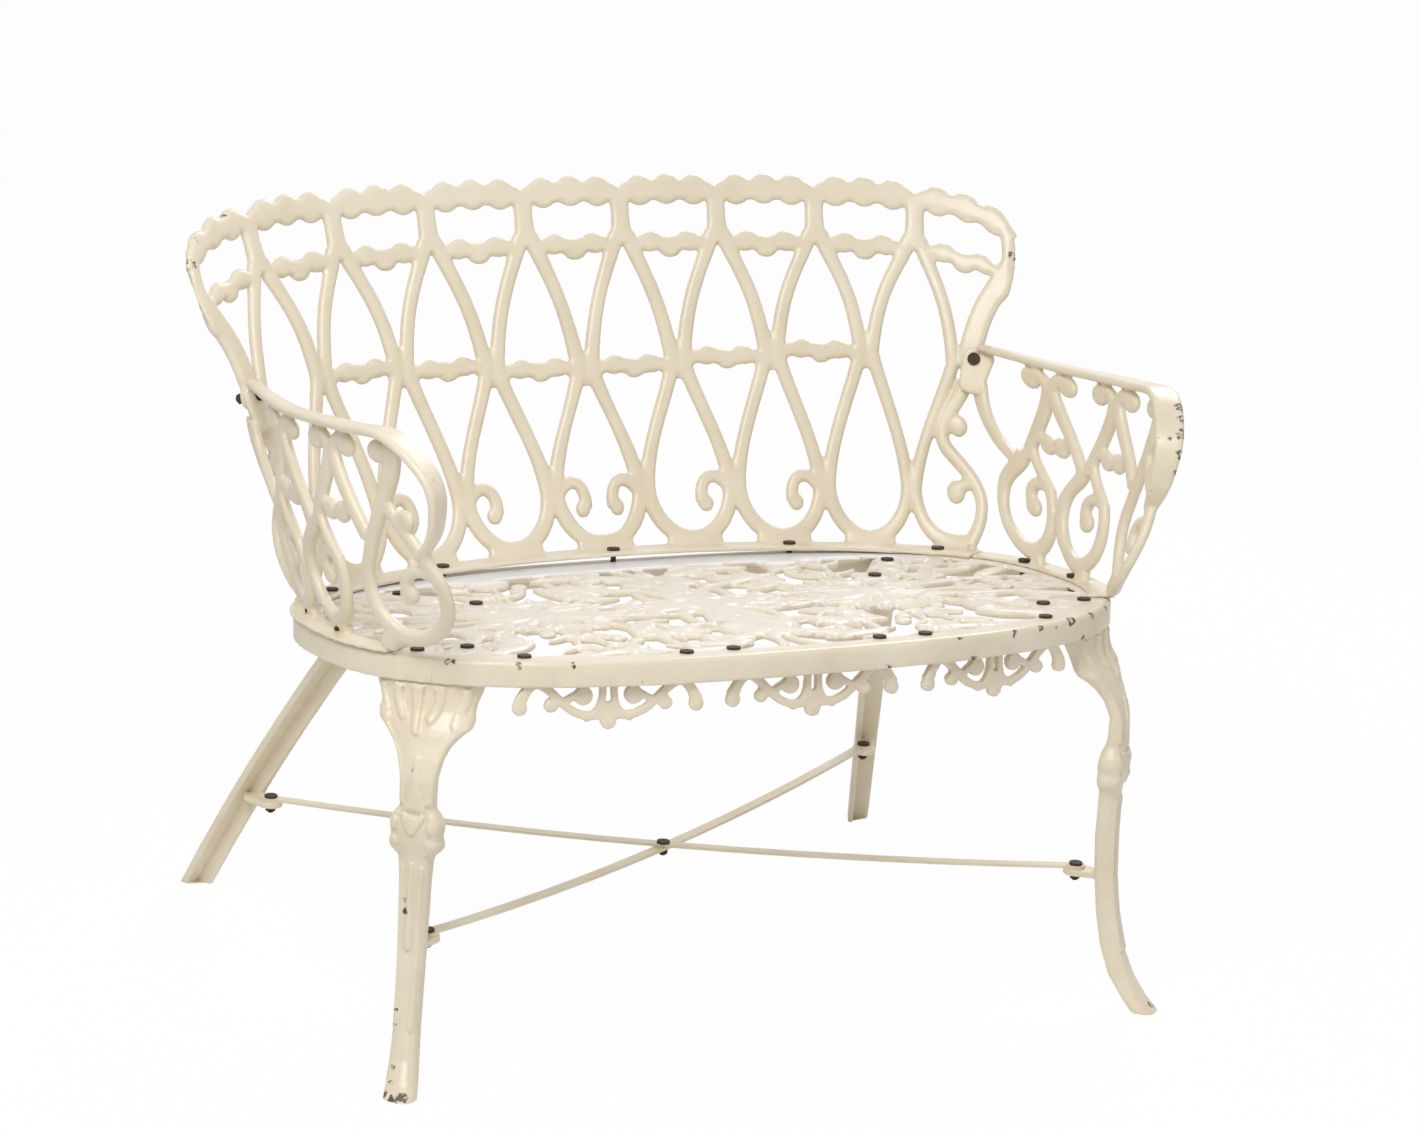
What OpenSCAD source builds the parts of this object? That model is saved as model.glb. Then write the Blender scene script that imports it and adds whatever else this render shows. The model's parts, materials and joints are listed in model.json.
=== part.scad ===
// Cast iron garden bench: pierced castings bolted to a curved seat.
// X runs along the bench, -Y is the front, Z is up from the floor.

/* [Seat] */
// Width of the seat rim
seat_w = 870; // [800:1:1000]
// Depth of the seat rim
seat_d = 520; // [480:1:560]
// How square the outline is: 2 is an ellipse
seat_square = 2.6; // [2.2:0.1:3.2]
// Centre of the seat from the origin, along Y
seat_y = -77; // [-90:1:-60]
// Height of the rim's top over the floor, at the origin
seat_h = 401; // [380:1:430]
// Slope of the seat down to the back, in degrees
seat_tilt = 5.5; // [3:0.5:7]
// Height of the rim's skirt
rim_h = 26; // [20:1:34]
// Width of the solid band round the seat
rim_band = 30; // [26:1:36]
// Thickness of the seat plate
plate_t = 5; // [4:0.5:7]
// Thickness of the skirt
skirt_t = 6; // [5:0.5:8]

/* [Back] */
// Height of the crest over the back flange
back_h = 392; // [350:1:430]
// How far the crest leans behind the rim
back_lean = 116; // [90:1:140]
// Width of one cell at the crest
crest_cell = 114.5; // [108:0.5:120]
// Turn of the crest from its centre to its end, in degrees
crest_turn = 45; // [38:1:50]
// How far the crest's ends drop
crest_drop = 34; // [20:1:45]
// Length of the back flange on each side of the centre
seam_s = 430; // [415:1:445]
// Gap under the bowed back flange at its centre
flange_bow = 7; // [3:0.5:10]
// Thickness of the casting
casting_t = 11; // [9:0.5:14]
// Width of a member
member_w = 13; // [11:0.5:16]
// Thickness of the flanges
flange_t = 5; // [4:0.5:7]
// Width of the flanges
flange_w = 30; // [27:1:34]

/* [Arms] */
// Length of an arm's flange along the rim
arm_len = 290; // [270:1:310]
// Height of the rail over the seat at its middle
arm_h = 222; // [200:1:240]
// Width of the rail
rail_w = 27; // [22:1:34]
// Thickness of the rail
rail_t = 8; // [6:0.5:11]

/* [Legs] */
// Width of a front leg's head
head_w = 116; // [100:1:124]
// Spread of a front foot beyond its head
front_spread = 88; // [70:1:100]
// Spread of a rear foot beyond its top
rear_spread = 257; // [240:1:300]
// Width of a rear leg
rear_w = 28; // [24:1:34]

/* [Aprons] */
// Length of one apron casting between its end drops
apron_w = 180; // [170:1:188]
// How far an apron hangs below the skirt
apron_drop = 45; // [38:1:52]
// Thickness of an apron casting
apron_t = 8; // [6:0.5:10]

/* [Stretchers] */
// Width of a stretcher bar
bar_w = 12; // [10:0.5:16]
// Thickness of a stretcher bar
bar_t = 3; // [2.5:0.5:5]
// Height of the rear lugs' top
lug_rear_h = 122; // [100:1:140]
// Height of the front lugs' top
lug_front_h = 139; // [120:1:160]
// Dip of the bars at their crossing
bar_dip = 18; // [10:1:24]

/* [Bolts] */
// Diameter of the bolts
bolt_d = 6; // [5:0.5:7]
// Clearance of a bolt in its hole, on the diameter
bolt_clear = 1; // [0.6:0.1:1.6]
// Diameter of a bolt head
bolt_head_d = 14; // [12:0.5:15]
// Height of a bolt head
bolt_head_h = 2.5; // [2:0.5:4]
// Width of a nut across its flats
nut_af = 10; // [9:0.5:12]
// Height of a nut
nut_h = 5; // [4:0.5:6]

/* [Hidden] */
columns = 9;
half = columns / 2;
seat_a = seat_w / 2;
seat_b = seat_d / 2;
front_y = seat_y - seat_b;
hole_d = bolt_d + bolt_clear;
paint = [0.92, 0.86, 0.77];
rust = [0.16, 0.12, 0.1];
// Cross-section of a cast member: flat behind, bevelled in front
section = [[-0.5, -0.5], [0.5, -0.5], [0.32, 0.5], [-0.32, 0.5]];
bowl_rings = 6;
bolt_inset = 17;
flange_out = 1;
flange_in = flange_w - flange_out;

// General helpers
function unit(v) = v / norm(v);
function lerp(a, b, k) = a + (b - a) * k;
function bezier(p, n) = [
  for (i = [0 : n])
    let (k = i / n, m = 1 - k)
      m * m * m * p[0] + 3 * m * m * k * p[1] + 3 * m * k * k * p[2] + k * k * k * p[3]
];
function tail(list) = [for (i = [1 : len(list) - 1]) list[i]];
function ramp(w, n) = [
  for (i = [0 : n])
    let (k = i / n * (len(w) - 1), j = min(floor(k), len(w) - 2))
      lerp(w[j], w[j + 1], k - j)
];

// The seat's outline, a superellipse. Angle 0 is the middle of the back, 90 the right side.
function outline(t, inset = 0) =
  let (
    s = abs(sin(t)),
    c = abs(cos(t)),
    e = 2 / seat_square,
    nx = sign(sin(t)) * pow(s, 2 - e) / seat_a,
    ny = sign(cos(t)) * pow(c, 2 - e) / seat_b,
    l = norm([nx, ny])
  )
    [
      seat_a * sign(sin(t)) * pow(s, e) - nx / l * inset,
      seat_y + seat_b * sign(cos(t)) * pow(c, e) - ny / l * inset
    ];
outline_step = 2;
outline_pts = [for (t = [0 : outline_step : 180]) outline(t)];
outline_run = [
  for (
    i = 0, s = 0;
    i < len(outline_pts);
    s = s + (i + 1 < len(outline_pts) ? norm(outline_pts[i + 1] - outline_pts[i]) : 0), i = i + 1
  )
    [s, i * outline_step]
];
half_rim = outline_run[len(outline_run) - 1][0];
// A point at a run s along the rim from the middle of the back
function rim_at(s, inset = 0) =
  let (p = outline(lookup(abs(s), outline_run), inset))
    [s < 0 ? -p[0] : p[0], p[1]];
// Direction along the rim at a run s
function rim_dir(s) = unit(rim_at(s + 2) - rim_at(s - 2));

// The back: a curved sheet that the castings' pattern lies on
base_squeeze = 0.12;
function base_run(u) = seam_s * (u / half) * (1 + base_squeeze * (1 - pow(u / half, 2)));
crest_steps = 36;
crest_len = crest_cell * half;
crest_y = seat_y + seat_b + back_lean;
function crest_angle(k) = crest_turn * pow(k, 1.7);
crest_line = [
  for (
    i = 0, x = 0, y = crest_y;
    i <= crest_steps;
    x = x + crest_len / crest_steps * cos(crest_angle((i + 0.5) / crest_steps)),
    y = y - crest_len / crest_steps * sin(crest_angle((i + 0.5) / crest_steps)),
    i = i + 1
  )
    [i * crest_len / crest_steps, x, y]
];
crest_x_run = [for (p = crest_line) [p[0], p[1]]];
crest_y_run = [for (p = crest_line) [p[0], p[2]]];
function crest_at(u) =
  let (s = abs(u) * crest_cell)
    [sign(u) * lookup(s, crest_x_run), lookup(s, crest_y_run)];
function bow(u) = flange_bow * (1 + cos(180 * u / half)) / 2;
// u counts cells from the centre, v is the height over the flange in millimetres
function back_at(q) =
  let (
    u = q[0],
    v = q[1],
    foot = rim_at(base_run(u), -flange_out),
    k = sign(v) * pow(abs(v) / back_h, 0.8),
    p = lerp(foot, crest_at(u), k)
  )
    [p[0], p[1], bow(u) + flange_t + v * (1 - crest_drop / back_h * pow(abs(u) / half, 8))];

// The arm: a ruled sheet from the rim up to the rail, right-hand side
joint_uv = [4.2, 0.535 * back_h];
joint = back_at(joint_uv);
function rail_knot(k, out, up) = [seat_a + out, lerp(joint[1], front_y, k), up];
rail_knots = [
  joint + [0, -8, -6],
  rail_knot(0.375, 10, arm_h),
  rail_knot(0.69, 5, arm_h + 9),
  rail_knot(0.863, -10, arm_h + 12),
  rail_knot(1.025, -25, arm_h - 28),
  rail_knot(1.03, -32, arm_h - 75),
  rail_knot(0.905, -35, arm_h - 115)
];
function knot(i) = rail_knots[max(0, min(i, len(rail_knots) - 1))];
function rail_at(t) =
  let (
    i = min(floor(t), len(rail_knots) - 2),
    k = t - i,
    a = knot(i - 1),
    b = knot(i),
    c = knot(i + 1),
    d = knot(i + 2)
  )
    0.5 * (2 * b + (c - a) * k + (2 * a - 5 * b + 4 * c - d) * k * k + (3 * b - a - 3 * c + d) * k * k * k);
rail_roll = 3;
rail_x_run = [for (t = [0 : 0.25 : rail_roll]) let (p = rail_at(t)) [-p[1], p[0]]];
rail_z_run = [for (t = [0 : 0.25 : rail_roll]) let (p = rail_at(t)) [-p[1], p[2]]];
arm_cells = 3;
// p counts cells from the seam, f is 0 at the flange and 1 under the rail
function arm_at(q) =
  let (
    b = rim_at(seam_s + q[0] * arm_len / arm_cells, -flange_out),
    y = lerp(joint[1], front_y + 50, q[0] / arm_cells)
  )
    lerp([b[0], b[1], flange_t], [lookup(-y, rail_x_run), y, lookup(-y, rail_z_run) - rail_t / 2], q[1]);

back_sheet = function (q) back_at(q);
arm_sheet = function (q) arm_at(q);
function sheet_normal(sheet, q, du, dv) =
  unit(cross(sheet(q + [du, 0]) - sheet(q - [du, 0]), sheet(q + [0, dv]) - sheet(q - [0, dv])));
back_step = [0.02, 2];
arm_step = [0.02, 0.01];

// A solid through a list of rings with the same number of points
module loft(rings) {
  n = len(rings[0]);
  m = len(rings);
  polyhedron(
    points = [for (r = rings) each r],
    faces = concat(
      [[for (j = [n - 1 : -1 : 0]) j]],
      [
        for (i = [0 : m - 2])
          for (j = [0 : n - 1])
            let (a = i * n + j, b = i * n + (j + 1) % n)
              each [[a, b, b + n], [a, b + n, a + n]]
      ],
      [[for (j = [0 : n - 1]) (m - 1) * n + j]]
    ),
    convexity = 6
  );
}

// A cast member along a path drawn on a sheet, with a width at each point
module strand(sheet, step, path, widths, t = casting_t) {
  n = len(path);
  rings = [
    for (i = [0 : n - 1])
      let (
        p = sheet(path[i]),
        along = unit(sheet(path[min(i + 1, n - 1)]) - sheet(path[max(i - 1, 0)])),
        face = sheet_normal(sheet, path[i], step[0], step[1]),
        side = unit(cross(along, face))
      )
        [for (s = section) p + side * s[0] * widths[i] + face * s[1] * t]
  ];
  loft(rings);
}

module back_strand(p, w, n = 3, t = casting_t) {
  strand(back_sheet, back_step, bezier(p, n), ramp(w, n), t);
}

module arm_strand(p, w, n = 3, t = casting_t) {
  strand(arm_sheet, arm_step, bezier(p, n), ramp(w, n), t);
}

// Children stand on the sheet at q with Z along its face
module on_sheet(sheet, step, q) {
  p = sheet(q);
  face = sheet_normal(sheet, q, step[0], step[1]);
  right = unit(sheet(q + [step[0], 0]) - sheet(q - [step[0], 0]));
  up = cross(face, right);
  multmatrix([
    [right[0], up[0], face[0], p[0]],
    [right[1], up[1], face[1], p[1]],
    [right[2], up[2], face[2], p[2]],
    [0, 0, 0, 1]
  ])
    children();
}

// A round lobe with a domed front
module lobe(r, t = casting_t) {
  hull() {
    translate([0, 0, -t / 2])
      cylinder(h = t * 0.6, r = r, $fn = 8);
    translate([0, 0, -t / 2])
      cylinder(h = t, r = r * 0.5, $fn = 8);
  }
}

// A band along the rim between two runs, between two insets
module rim_ring(s0, s1, steps, out, in, low, high) {
  loft([
    for (i = [0 : steps])
      let (s = lerp(s0, s1, i / steps), a = rim_at(s, out), b = rim_at(s, in))
        [
          [a[0], a[1], low(s)],
          [b[0], b[1], low(s)],
          [b[0], b[1], high(s)],
          [a[0], a[1], high(s)]
        ]
  ]);
}

module on_seat() {
  translate([0, 0, seat_h])
    rotate([-seat_tilt, 0, 0])
      children();
}

module both_sides() {
  children();
  mirror([1, 0, 0])
    children();
}

module bolt(grip) {
  cylinder(h = bolt_head_h, d = bolt_head_d, $fn = 24);
  translate([0, 0, -grip - nut_h - 2])
    cylinder(h = grip + nut_h + 2, d = bolt_d, $fn = 24);
}

module nut(grip) {
  translate([0, 0, -grip - nut_h])
    difference() {
      cylinder(h = nut_h, d = nut_af / cos(30), $fn = 6);
      translate([0, 0, -1])
        cylinder(h = nut_h + 2, d = bolt_d + 0.4, $fn = 24);
    }
}

module hole(depth) {
  translate([0, 0, -depth])
    cylinder(h = 2 * depth, d = hole_d, $fn = 12);
}

// Places of the bolts
back_bolt_u = [-3.9, -2, 0, 2, 3.9];
arm_bolt_run = [seam_s + 77, seam_s + 179];
pad_t = 0.8;
function back_bolt_at(u) =
  let (p = rim_at(base_run(u), bolt_inset))
    [p[0], p[1], bow(u) + flange_t + pad_t];
function arm_bolt_at(s) = let (p = rim_at(s, bolt_inset)) [p[0], p[1], flange_t];

// The back casting
waist_v = 0.48 * back_h;
notch_v = 0.16 * back_h;
apex_v = 0.845 * back_h;
bar_v = 0.817 * back_h;
crest_v = 0.962 * back_h;
root_v = 0.045 * back_h;
crest_waves = [20, 26, 20, 27, 20, 26];
waves_2 = [12, 17, 23, 18, 23, 17, 12];

// A wavy bar between two columns, its lobes drawn by the widths
module wavy_bar(u0, u1, v, rise, w, t) {
  n = len(w) - 1;
  path = [for (i = [0 : n]) [lerp(u0, u1, i / n), v + rise * sin(180 * i / n)]];
  strand(back_sheet, back_step, path, w, t);
}

// The crest bar, three humps to a column, in one run from end to end
module crest_bar() {
  n = len(crest_waves);
  steps = columns * n;
  strand(
    back_sheet, back_step,
    [for (i = [1 : steps - 1]) [-half + i / n, crest_v - 6 + (i % n == 0 ? 0 : 6)]],
    [for (i = [1 : steps - 1]) i % n == 0 ? 15 : crest_waves[i % n]],
    casting_t + 1.5
  );
}

module back_cell(c) {
  wavy_bar(c - 0.43, c + 0.43, bar_v - 4, 5, waves_2, casting_t - 1.5);
  for (s = [-1, 1]) {
    upper = bezier([[c + 0.45 * s, apex_v], [c + 0.38 * s, apex_v - 45], [c + 0.14 * s, waist_v + 40],
      [c + 0.05 * s, waist_v]], 3);
    lower = bezier([[c + 0.05 * s, waist_v], [c + 0.12 * s, waist_v - 40], [c + 0.36 * s, notch_v + 38],
      [c + 0.45 * s, notch_v - 6]], 3);
    path = abs(c + s) < half ? concat(upper, tail(lower)) : upper;
    strand(back_sheet, back_step, path, [for (p = path) member_w]);
  }
}

module bowl(c, r) {
  strand(
    back_sheet, back_step,
    [for (i = [0 : bowl_rings]) let (a = 180 * i / bowl_rings) [c - r * cos(a), 48 - 44 * sin(a)]],
    [for (i = [0 : bowl_rings]) member_w + 2 * sin(180 * i / bowl_rings)],
    casting_t - 1.5
  );
}

module back_curl(c, s) {
  back_strand([[c + 0.44 * s, 50], [c + 0.33 * s, 70], [c + 0.12 * s, 68], [c + 0.14 * s, 40]],
    [9, 10, 13], 4);
  on_sheet(back_sheet, back_step, [c + 0.16 * s, 38])
    lobe(8);
}

module back_end() {
  outer = concat(
    bezier([[4.38, crest_v - 4], [4.52, crest_v - 8], [4.5, 310], [4.36, 290]], 4),
    tail(bezier([[4.36, 290], [4.24, 262], [4.2, 230], [4.14, 196]], 3)),
    tail(bezier([[4.14, 196], [4.08, 160], [3.72, 130], [3.9, 108]], 3)),
    tail(bezier([[3.9, 108], [4.1, 86], [4.72, 62], [4.34, 12]], 5))
  );
  strand(back_sheet, back_step, outer, [for (p = outer) 17]);
  on_sheet(back_sheet, back_step, [4.04, 133])
    lobe(12);
  on_sheet(back_sheet, back_step, [4.06, 60])
    lobe(13);
  back_strand([[4.32, 68], [4.25, 70], [4.15, 66], [4.06, 60]], [14, 14], 2);
  back_strand([[3.62, 48], [3.66, 14], [3.9, 2], [4.3, 8]], [member_w, member_w + 2], 5);
}

module back_panel() {
  color(paint)
    on_seat()
      difference() {
        union() {
          rim_ring(-seam_s, seam_s, 20, -flange_out - casting_t / 2, flange_in,
            function (s) bow(s / seam_s * half), function (s) bow(s / seam_s * half) + flange_t);
          crest_bar();
          for (c = [-4 : 4])
            back_cell(c);
          for (c = [-3 : 3])
            bowl(c, 0.42);
          for (b = [-3.5 : 3.5]) {
            back_strand([[b - 0.01, crest_v - 4], [b, crest_v - 20], [b, apex_v + 20], [b + 0.008, apex_v - 8]], [22, 19, 24], 2, casting_t - 3);
            back_strand([[b - 0.01, notch_v + 4], [b, notch_v - 10], [b, root_v + 20], [b + 0.008, root_v + 4]], [24, 19, 24], 2, casting_t - 3);
          }
          for (c = [-3 : 3])
            back_strand([[c - 0.01, waist_v + 25], [c, waist_v + 12], [c, waist_v - 5], [c + 0.012, waist_v - 26]],
              [18, 26, 20], 2, casting_t - 4);
          for (b = [-2.5 : 2.5])
            wavy_bar(b - 0.44, b + 0.44, waist_v - 3, 4, waves_2, casting_t - 1.5);
          for (c = [-2 : 0])
            back_curl(c, -1);
          for (c = [0 : 2])
            back_curl(c, 1);
          both_sides()
            back_end();
          for (u = back_bolt_u)
            translate(back_bolt_at(u) - [0, 0, flange_t + pad_t])
              cylinder(h = flange_t + pad_t, r = bolt_head_d / 2 + 2, $fn = 12);
          both_sides()
            on_sheet(back_sheet, back_step, joint_uv)
              translate([0, 0, -casting_t / 2 - joint_pad])
                cylinder(h = casting_t + 2 * joint_pad, r = 13, $fn = 12);
        }
        for (u = back_bolt_u)
          translate(back_bolt_at(u))
            hole(30);
        both_sides()
          on_sheet(back_sheet, back_step, joint_uv)
            hole(30);
      }
}

// One arm casting, right-hand side
lug_t = 7;
joint_pad = 1;
module rail() {
  steps = 16;
  last = len(rail_knots) - 1;
  loft([
    for (i = [0 : steps])
      let (
        t = 0.02 + (last - 0.04) * i / steps,
        p = rail_at(t),
        along = unit(rail_at(t + 0.02) - rail_at(t - 0.02)),
        wide = unit([1, 0, 0] - along * along[0]),
        up = unit(cross(wide, along)),
        w = rail_w * (t < 1 ? lerp(0.62, 1, t) : t > 4.5 ? lerp(1.2, 0.7, (t - 4.5) / (last - 4.5)) : 1 + 0.2 * max(0, min(1, t - 2)))
      )
        [
          for (s = section)
            p - wide * s[0] * w - up * s[1] * rail_t
        ]
  ]);
}

module arm_lens(k) {
  for (s = [-1, 1]) {
    arm_strand([[k + 0.03 * s, 0.88], [k + 0.1 * s, 0.76], [k + 0.28 * s, 0.66], [k + 0.45 * s, 0.52]],
      [member_w - 1, member_w - 1]);
    arm_strand([[k + 0.02 * s, 0.86], [k + 0.04 * s, 0.95], [k + 0.16 * s, 0.98], [k + 0.26 * s, 0.94]],
      [12, 12], 3, casting_t - 2);
    on_sheet(arm_sheet, arm_step, [k + 0.25 * s, 0.93])
      lobe(11);
    on_sheet(arm_sheet, arm_step, [k + 0.1 * s, 0.61])
      lobe(11);
    arm_strand([[k + 0.1 * s, 0.62], [k + 0.18 * s, 0.64], [k + 0.22 * s, 0.64], [k + 0.27 * s, 0.62]],
      [10, 10], 1, casting_t - 3);
  }
}

module arm_bowl(c) {
  path = concat(
    bezier([[c, 0.54], [c - 0.06, 0.44], [c - 0.36, 0.44], [c - 0.4, 0.285]], 3),
    tail(bezier([[c - 0.4, 0.285], [c - 0.44, 0.16], [c - 0.32, 0.04], [c, 0.01]], 3)),
    tail(bezier([[c, 0.01], [c + 0.32, 0.04], [c + 0.44, 0.16], [c + 0.42, 0.29]], 3))
  );
  strand(arm_sheet, arm_step, path, ramp([member_w + 3, member_w - 1, member_w + 3, member_w - 1], 9));
  arm_strand([[c + 0.42, 0.37], [c + 0.22, 0.43], [c + 0.02, 0.4], [c + 0.06, 0.29]], [9, 11], 3, casting_t - 2);
  on_sheet(arm_sheet, arm_step, [c + 0.07, 0.28])
    lobe(8);
}

module arm_stay(c) {
  path = concat(
    bezier([[c + 0.14, 0.61], [c + 0.12, 0.52], [c + 0.24, 0.46], [c + 0.36, 0.39]], 3),
    tail(bezier([[c + 0.36, 0.39], [c + 0.4, 0.37], [c + 0.42, 0.33], [c + 0.42, 0.28]], 2))
  );
  strand(arm_sheet, arm_step, path, ramp([10, member_w - 1], 5), casting_t - 1.5);
}

module arm_casting() {
  difference() {
    union() {
      rim_ring(seam_s + 0.4, seam_s + arm_len, 9, -flange_out - casting_t / 2, flange_in,
        function (s) 0, function (s) flange_t);
      rail();
      for (k = [1, 2])
        arm_lens(k);
      for (k = [0.5, 1.5, 2.5])
        arm_bowl(k);
      arm_stay(0.5);
      arm_stay(1.5);
      arm_strand([[0.06, 1], [-0.02, 0.8], [0.02, 0.68], [0.46, 0.53]], [16, member_w], 4);
      arm_strand([[2.5, 0.54], [2.62, 0.62], [2.72, 0.72], [2.8, 0.98]], [member_w, member_w], 4);
      arm_strand([[2.92, 0.28], [2.88, 0.36], [3, 0.43], [3.26, 0.48]], [member_w, member_w], 4);
      on_sheet(back_sheet, back_step, joint_uv)
        translate([0, 0, casting_t / 2 + joint_pad])
          hull() {
            cylinder(h = lug_t, r = 13, $fn = 24);
            translate([6, -30, 0])
              cylinder(h = lug_t, r = 9, $fn = 20);
          }
    }
    on_sheet(back_sheet, back_step, joint_uv)
      hole(40);
    for (s = arm_bolt_run)
      translate(arm_bolt_at(s))
        hole(20);
  }
}

module right_arm() {
  color(paint)
    on_seat()
      arm_casting();
}

module left_arm() {
  color(paint)
    on_seat()
      mirror([1, 0, 0])
        arm_casting();
}

// The seat casting
front_leg_bolts = [[seat_a - 60, seat_y - 127], [seat_a - 111, seat_y - 131]];
rear_leg_bolts = [[seat_a - 149, seat_y + 149], [seat_a - 204, seat_y + 72]];
apron_pitch = 81;
apron_runs = [-1, 0, 1];
apron_turn = 219;
apron_inset = 30;
function apron_place(k) = rim_at(half_rim - abs(k) * apron_turn, apron_inset);
function apron_angle(k) =
  let (d = rim_dir(half_rim - abs(k) * apron_turn))
    k == 0 ? 0 : sign(k) * (atan2(d[1], d[0]) + 180);

module outline_shape(inset) {
  polygon([for (t = [0 : 5 : 355]) let (p = t > 180 ? outline(360 - t, inset) : outline(t, inset)) [t > 180 ? -p[0] : p[0], p[1]]]);
}

// A flat ribbon along a path, with a width at each point
module ribbon(path, widths) {
  n = len(path) - 1;
  dirs = [for (i = [0 : n]) unit(path[min(i + 1, n)] - path[max(i - 1, 0)])];
  polygon(concat(
    [for (i = [0 : n]) path[i] + [-dirs[i][1], dirs[i][0]] * widths[i] / 2],
    [for (i = [n : -1 : 0]) path[i] - [-dirs[i][1], dirs[i][0]] * widths[i] / 2]
  ));
}

module curve(p, w, n = 5) {
  ribbon(bezier(p, n), ramp(w, n));
}

module leaf(at, angle, length, width) {
  translate(at)
    rotate(angle)
      polygon(concat(
        [for (i = [0 : 5]) [length * i / 5, width / 2 * sin(180 * pow(i / 5, 0.8))]],
        [for (i = [4 : -1 : 1]) [length * i / 5, -width / 2 * sin(180 * pow(i / 5, 0.8))]]
      ));
}

// A quarter of the scroll panel, seen from its centre
hub_x = 190;
module panel_quarter() {
  curve([[0, 0], [40, 12], [70, 60], [28, 118]], [14, 16, 9]);
  curve([[28, 118], [8, 150], [-6, 190], [30, 232]], [9, 13, 10]);
  translate([26, 112])
    circle(r = 13, $fn = 20);
  leaf([6, 60], 74, 120, 30);
  leaf([10, 120], 130, 60, 24);
  leaf([20, 150], 25, 70, 26);
  curve([[0, 20], [60, 50], [110, 20], [hub_x, 0]], [12, 16]);
  for (a = [18, 52, 90, 128, 160])
    leaf([hub_x, 0], a, a == 90 ? 250 : 210, 25);
  curve([[hub_x - 60, 70], [hub_x - 90, 120], [hub_x - 60, 170], [hub_x - 96, 215]], [12, 14, 10]);
  curve([[hub_x + 58, 62], [hub_x + 92, 100], [hub_x + 84, 150], [hub_x + 130, 180]], [12, 14, 10]);
  translate([hub_x - 84, 128])
    circle(r = 12, $fn = 20);
  translate([hub_x + 78, 112])
    circle(r = 12, $fn = 20);
  curve([[hub_x, 0], [hub_x + 80, 30], [hub_x + 130, 60], [hub_x + 230, 20]], [14, 18, 10]);
  leaf([hub_x + 90, 34], 62, 80, 26);
  leaf([hub_x + 150, 46], 30, 80, 26);
  translate([hub_x, 0])
    circle(r = 22, $fn = 24);
}

module panel_shape() {
  offset(delta = 0.5)
      intersection() {
        outline_shape(rim_band / 2);
        union() {
          for (mx = [0, 1], my = [0, 1])
            translate([0, seat_y])
              mirror([mx, 0])
                mirror([0, my])
                  panel_quarter();
          both_sides() {
            for (b = front_leg_bolts)
              hull() {
                translate(b)
                  circle(r = 15, $fn = 20);
                translate(b + [26, -40])
                  circle(r = 12, $fn = 12);
              }
            for (b = rear_leg_bolts)
              translate(b)
                circle(r = 15, $fn = 20);
            hull()
              for (b = rear_leg_bolts)
                translate(b)
                  circle(r = 9, $fn = 12);
          }
        }
      }
}

module seat_holes() {
  for (u = back_bolt_u)
    translate(rim_at(base_run(u), bolt_inset))
      circle(d = hole_d, $fn = 20);
  both_sides() {
    for (s = arm_bolt_run)
      translate(rim_at(s, bolt_inset))
        circle(d = hole_d, $fn = 20);
    for (b = concat(front_leg_bolts, rear_leg_bolts))
      translate(b)
        circle(d = hole_d, $fn = 20);
  }
  for (k = apron_runs)
    apron_frame_2d(k)
      for (s = [-1, 1])
        translate([s * apron_pitch, 0])
          circle(d = hole_d, $fn = 20);
}

module seat() {
  color(paint)
    on_seat() {
      translate([0, 0, -plate_t])
        linear_extrude(plate_t)
          difference() {
            union() {
              difference() {
                outline_shape(0);
                outline_shape(rim_band);
              }
              panel_shape();
            }
            seat_holes();
          }
      translate([0, 0, -rim_h])
        linear_extrude(rim_h - plate_t / 2)
          difference() {
            outline_shape(0);
            outline_shape(skirt_t);
          }
    }
}

// Front legs: rings down the leg, [height share, width, depth, spread share]
leg_turn = 47;
spread_turn = 25;
head_run = half_rim - 407;
head_at = rim_at(head_run);
leg_rings = [
  [0.965, 0.95, 28, 0.02], [0.92, 0.8, 28, 0.09], [0.88, 0.6, 24, 0.18], [0.835, 0.42, 18, 0.27],
  [0.78, 0.335, 14, 0.32], [0.73, 0.335, 15, 0.32], [0.7, 0.47, 24, 0.31], [0.67, 0.49, 30, 0.31],
  [0.64, 0.46, 28, 0.32], [0.605, 0.31, 24, 0.32], [0.515, 0.27, 22, 0.32], [0.45, 0.27, 24, 0.33],
  [0.34, 0.25, 22, 0.39], [0.24, 0.235, 23, 0.5], [0.15, 0.225, 26, 0.64], [0.08, 0.235, 26, 0.77],
  [0.03, 0.27, 25, 0.91], [0, 0.28, 27, 0.98]
];
head_wrap = 150;
leg_shape = [for (a = [330 : -30 : 0]) [sign(cos(a)) * pow(abs(cos(a)), 0.7), sign(sin(a)) * pow(abs(sin(a)), 0.7)]];
function seat_plane(x, y, drop) = seat_h - (y * sin(seat_tilt) + drop) / cos(seat_tilt);
head_z = seat_plane(0, head_at[1], rim_h);
face_dir = [sin(leg_turn), -cos(leg_turn)];
side_dir = [cos(leg_turn), sin(leg_turn)];
spread_dir = [sin(spread_turn), -cos(spread_turn)];
function leg_ring(w, d, spread) =
  [
    for (q = leg_shape)
      let (x = q[0] * w / 2, y = q[1] * d / 2)
        head_at + spread_dir * spread * front_spread - face_dir * 15 + side_dir * x + face_dir * (y - x * x / (2 * head_wrap))
  ];
front_lug_at = head_at + spread_dir * 0.39 * front_spread - face_dir * 15 + [-19, 14];

module leg_lug(at, top, toward) {
  hull() {
    translate([at[0], at[1], top - 7])
      cylinder(h = 7, r = 13, $fn = 24);
    translate([toward[0], toward[1], top - 7])
      cylinder(h = 7, r = 8, $fn = 16);
  }
}

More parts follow.
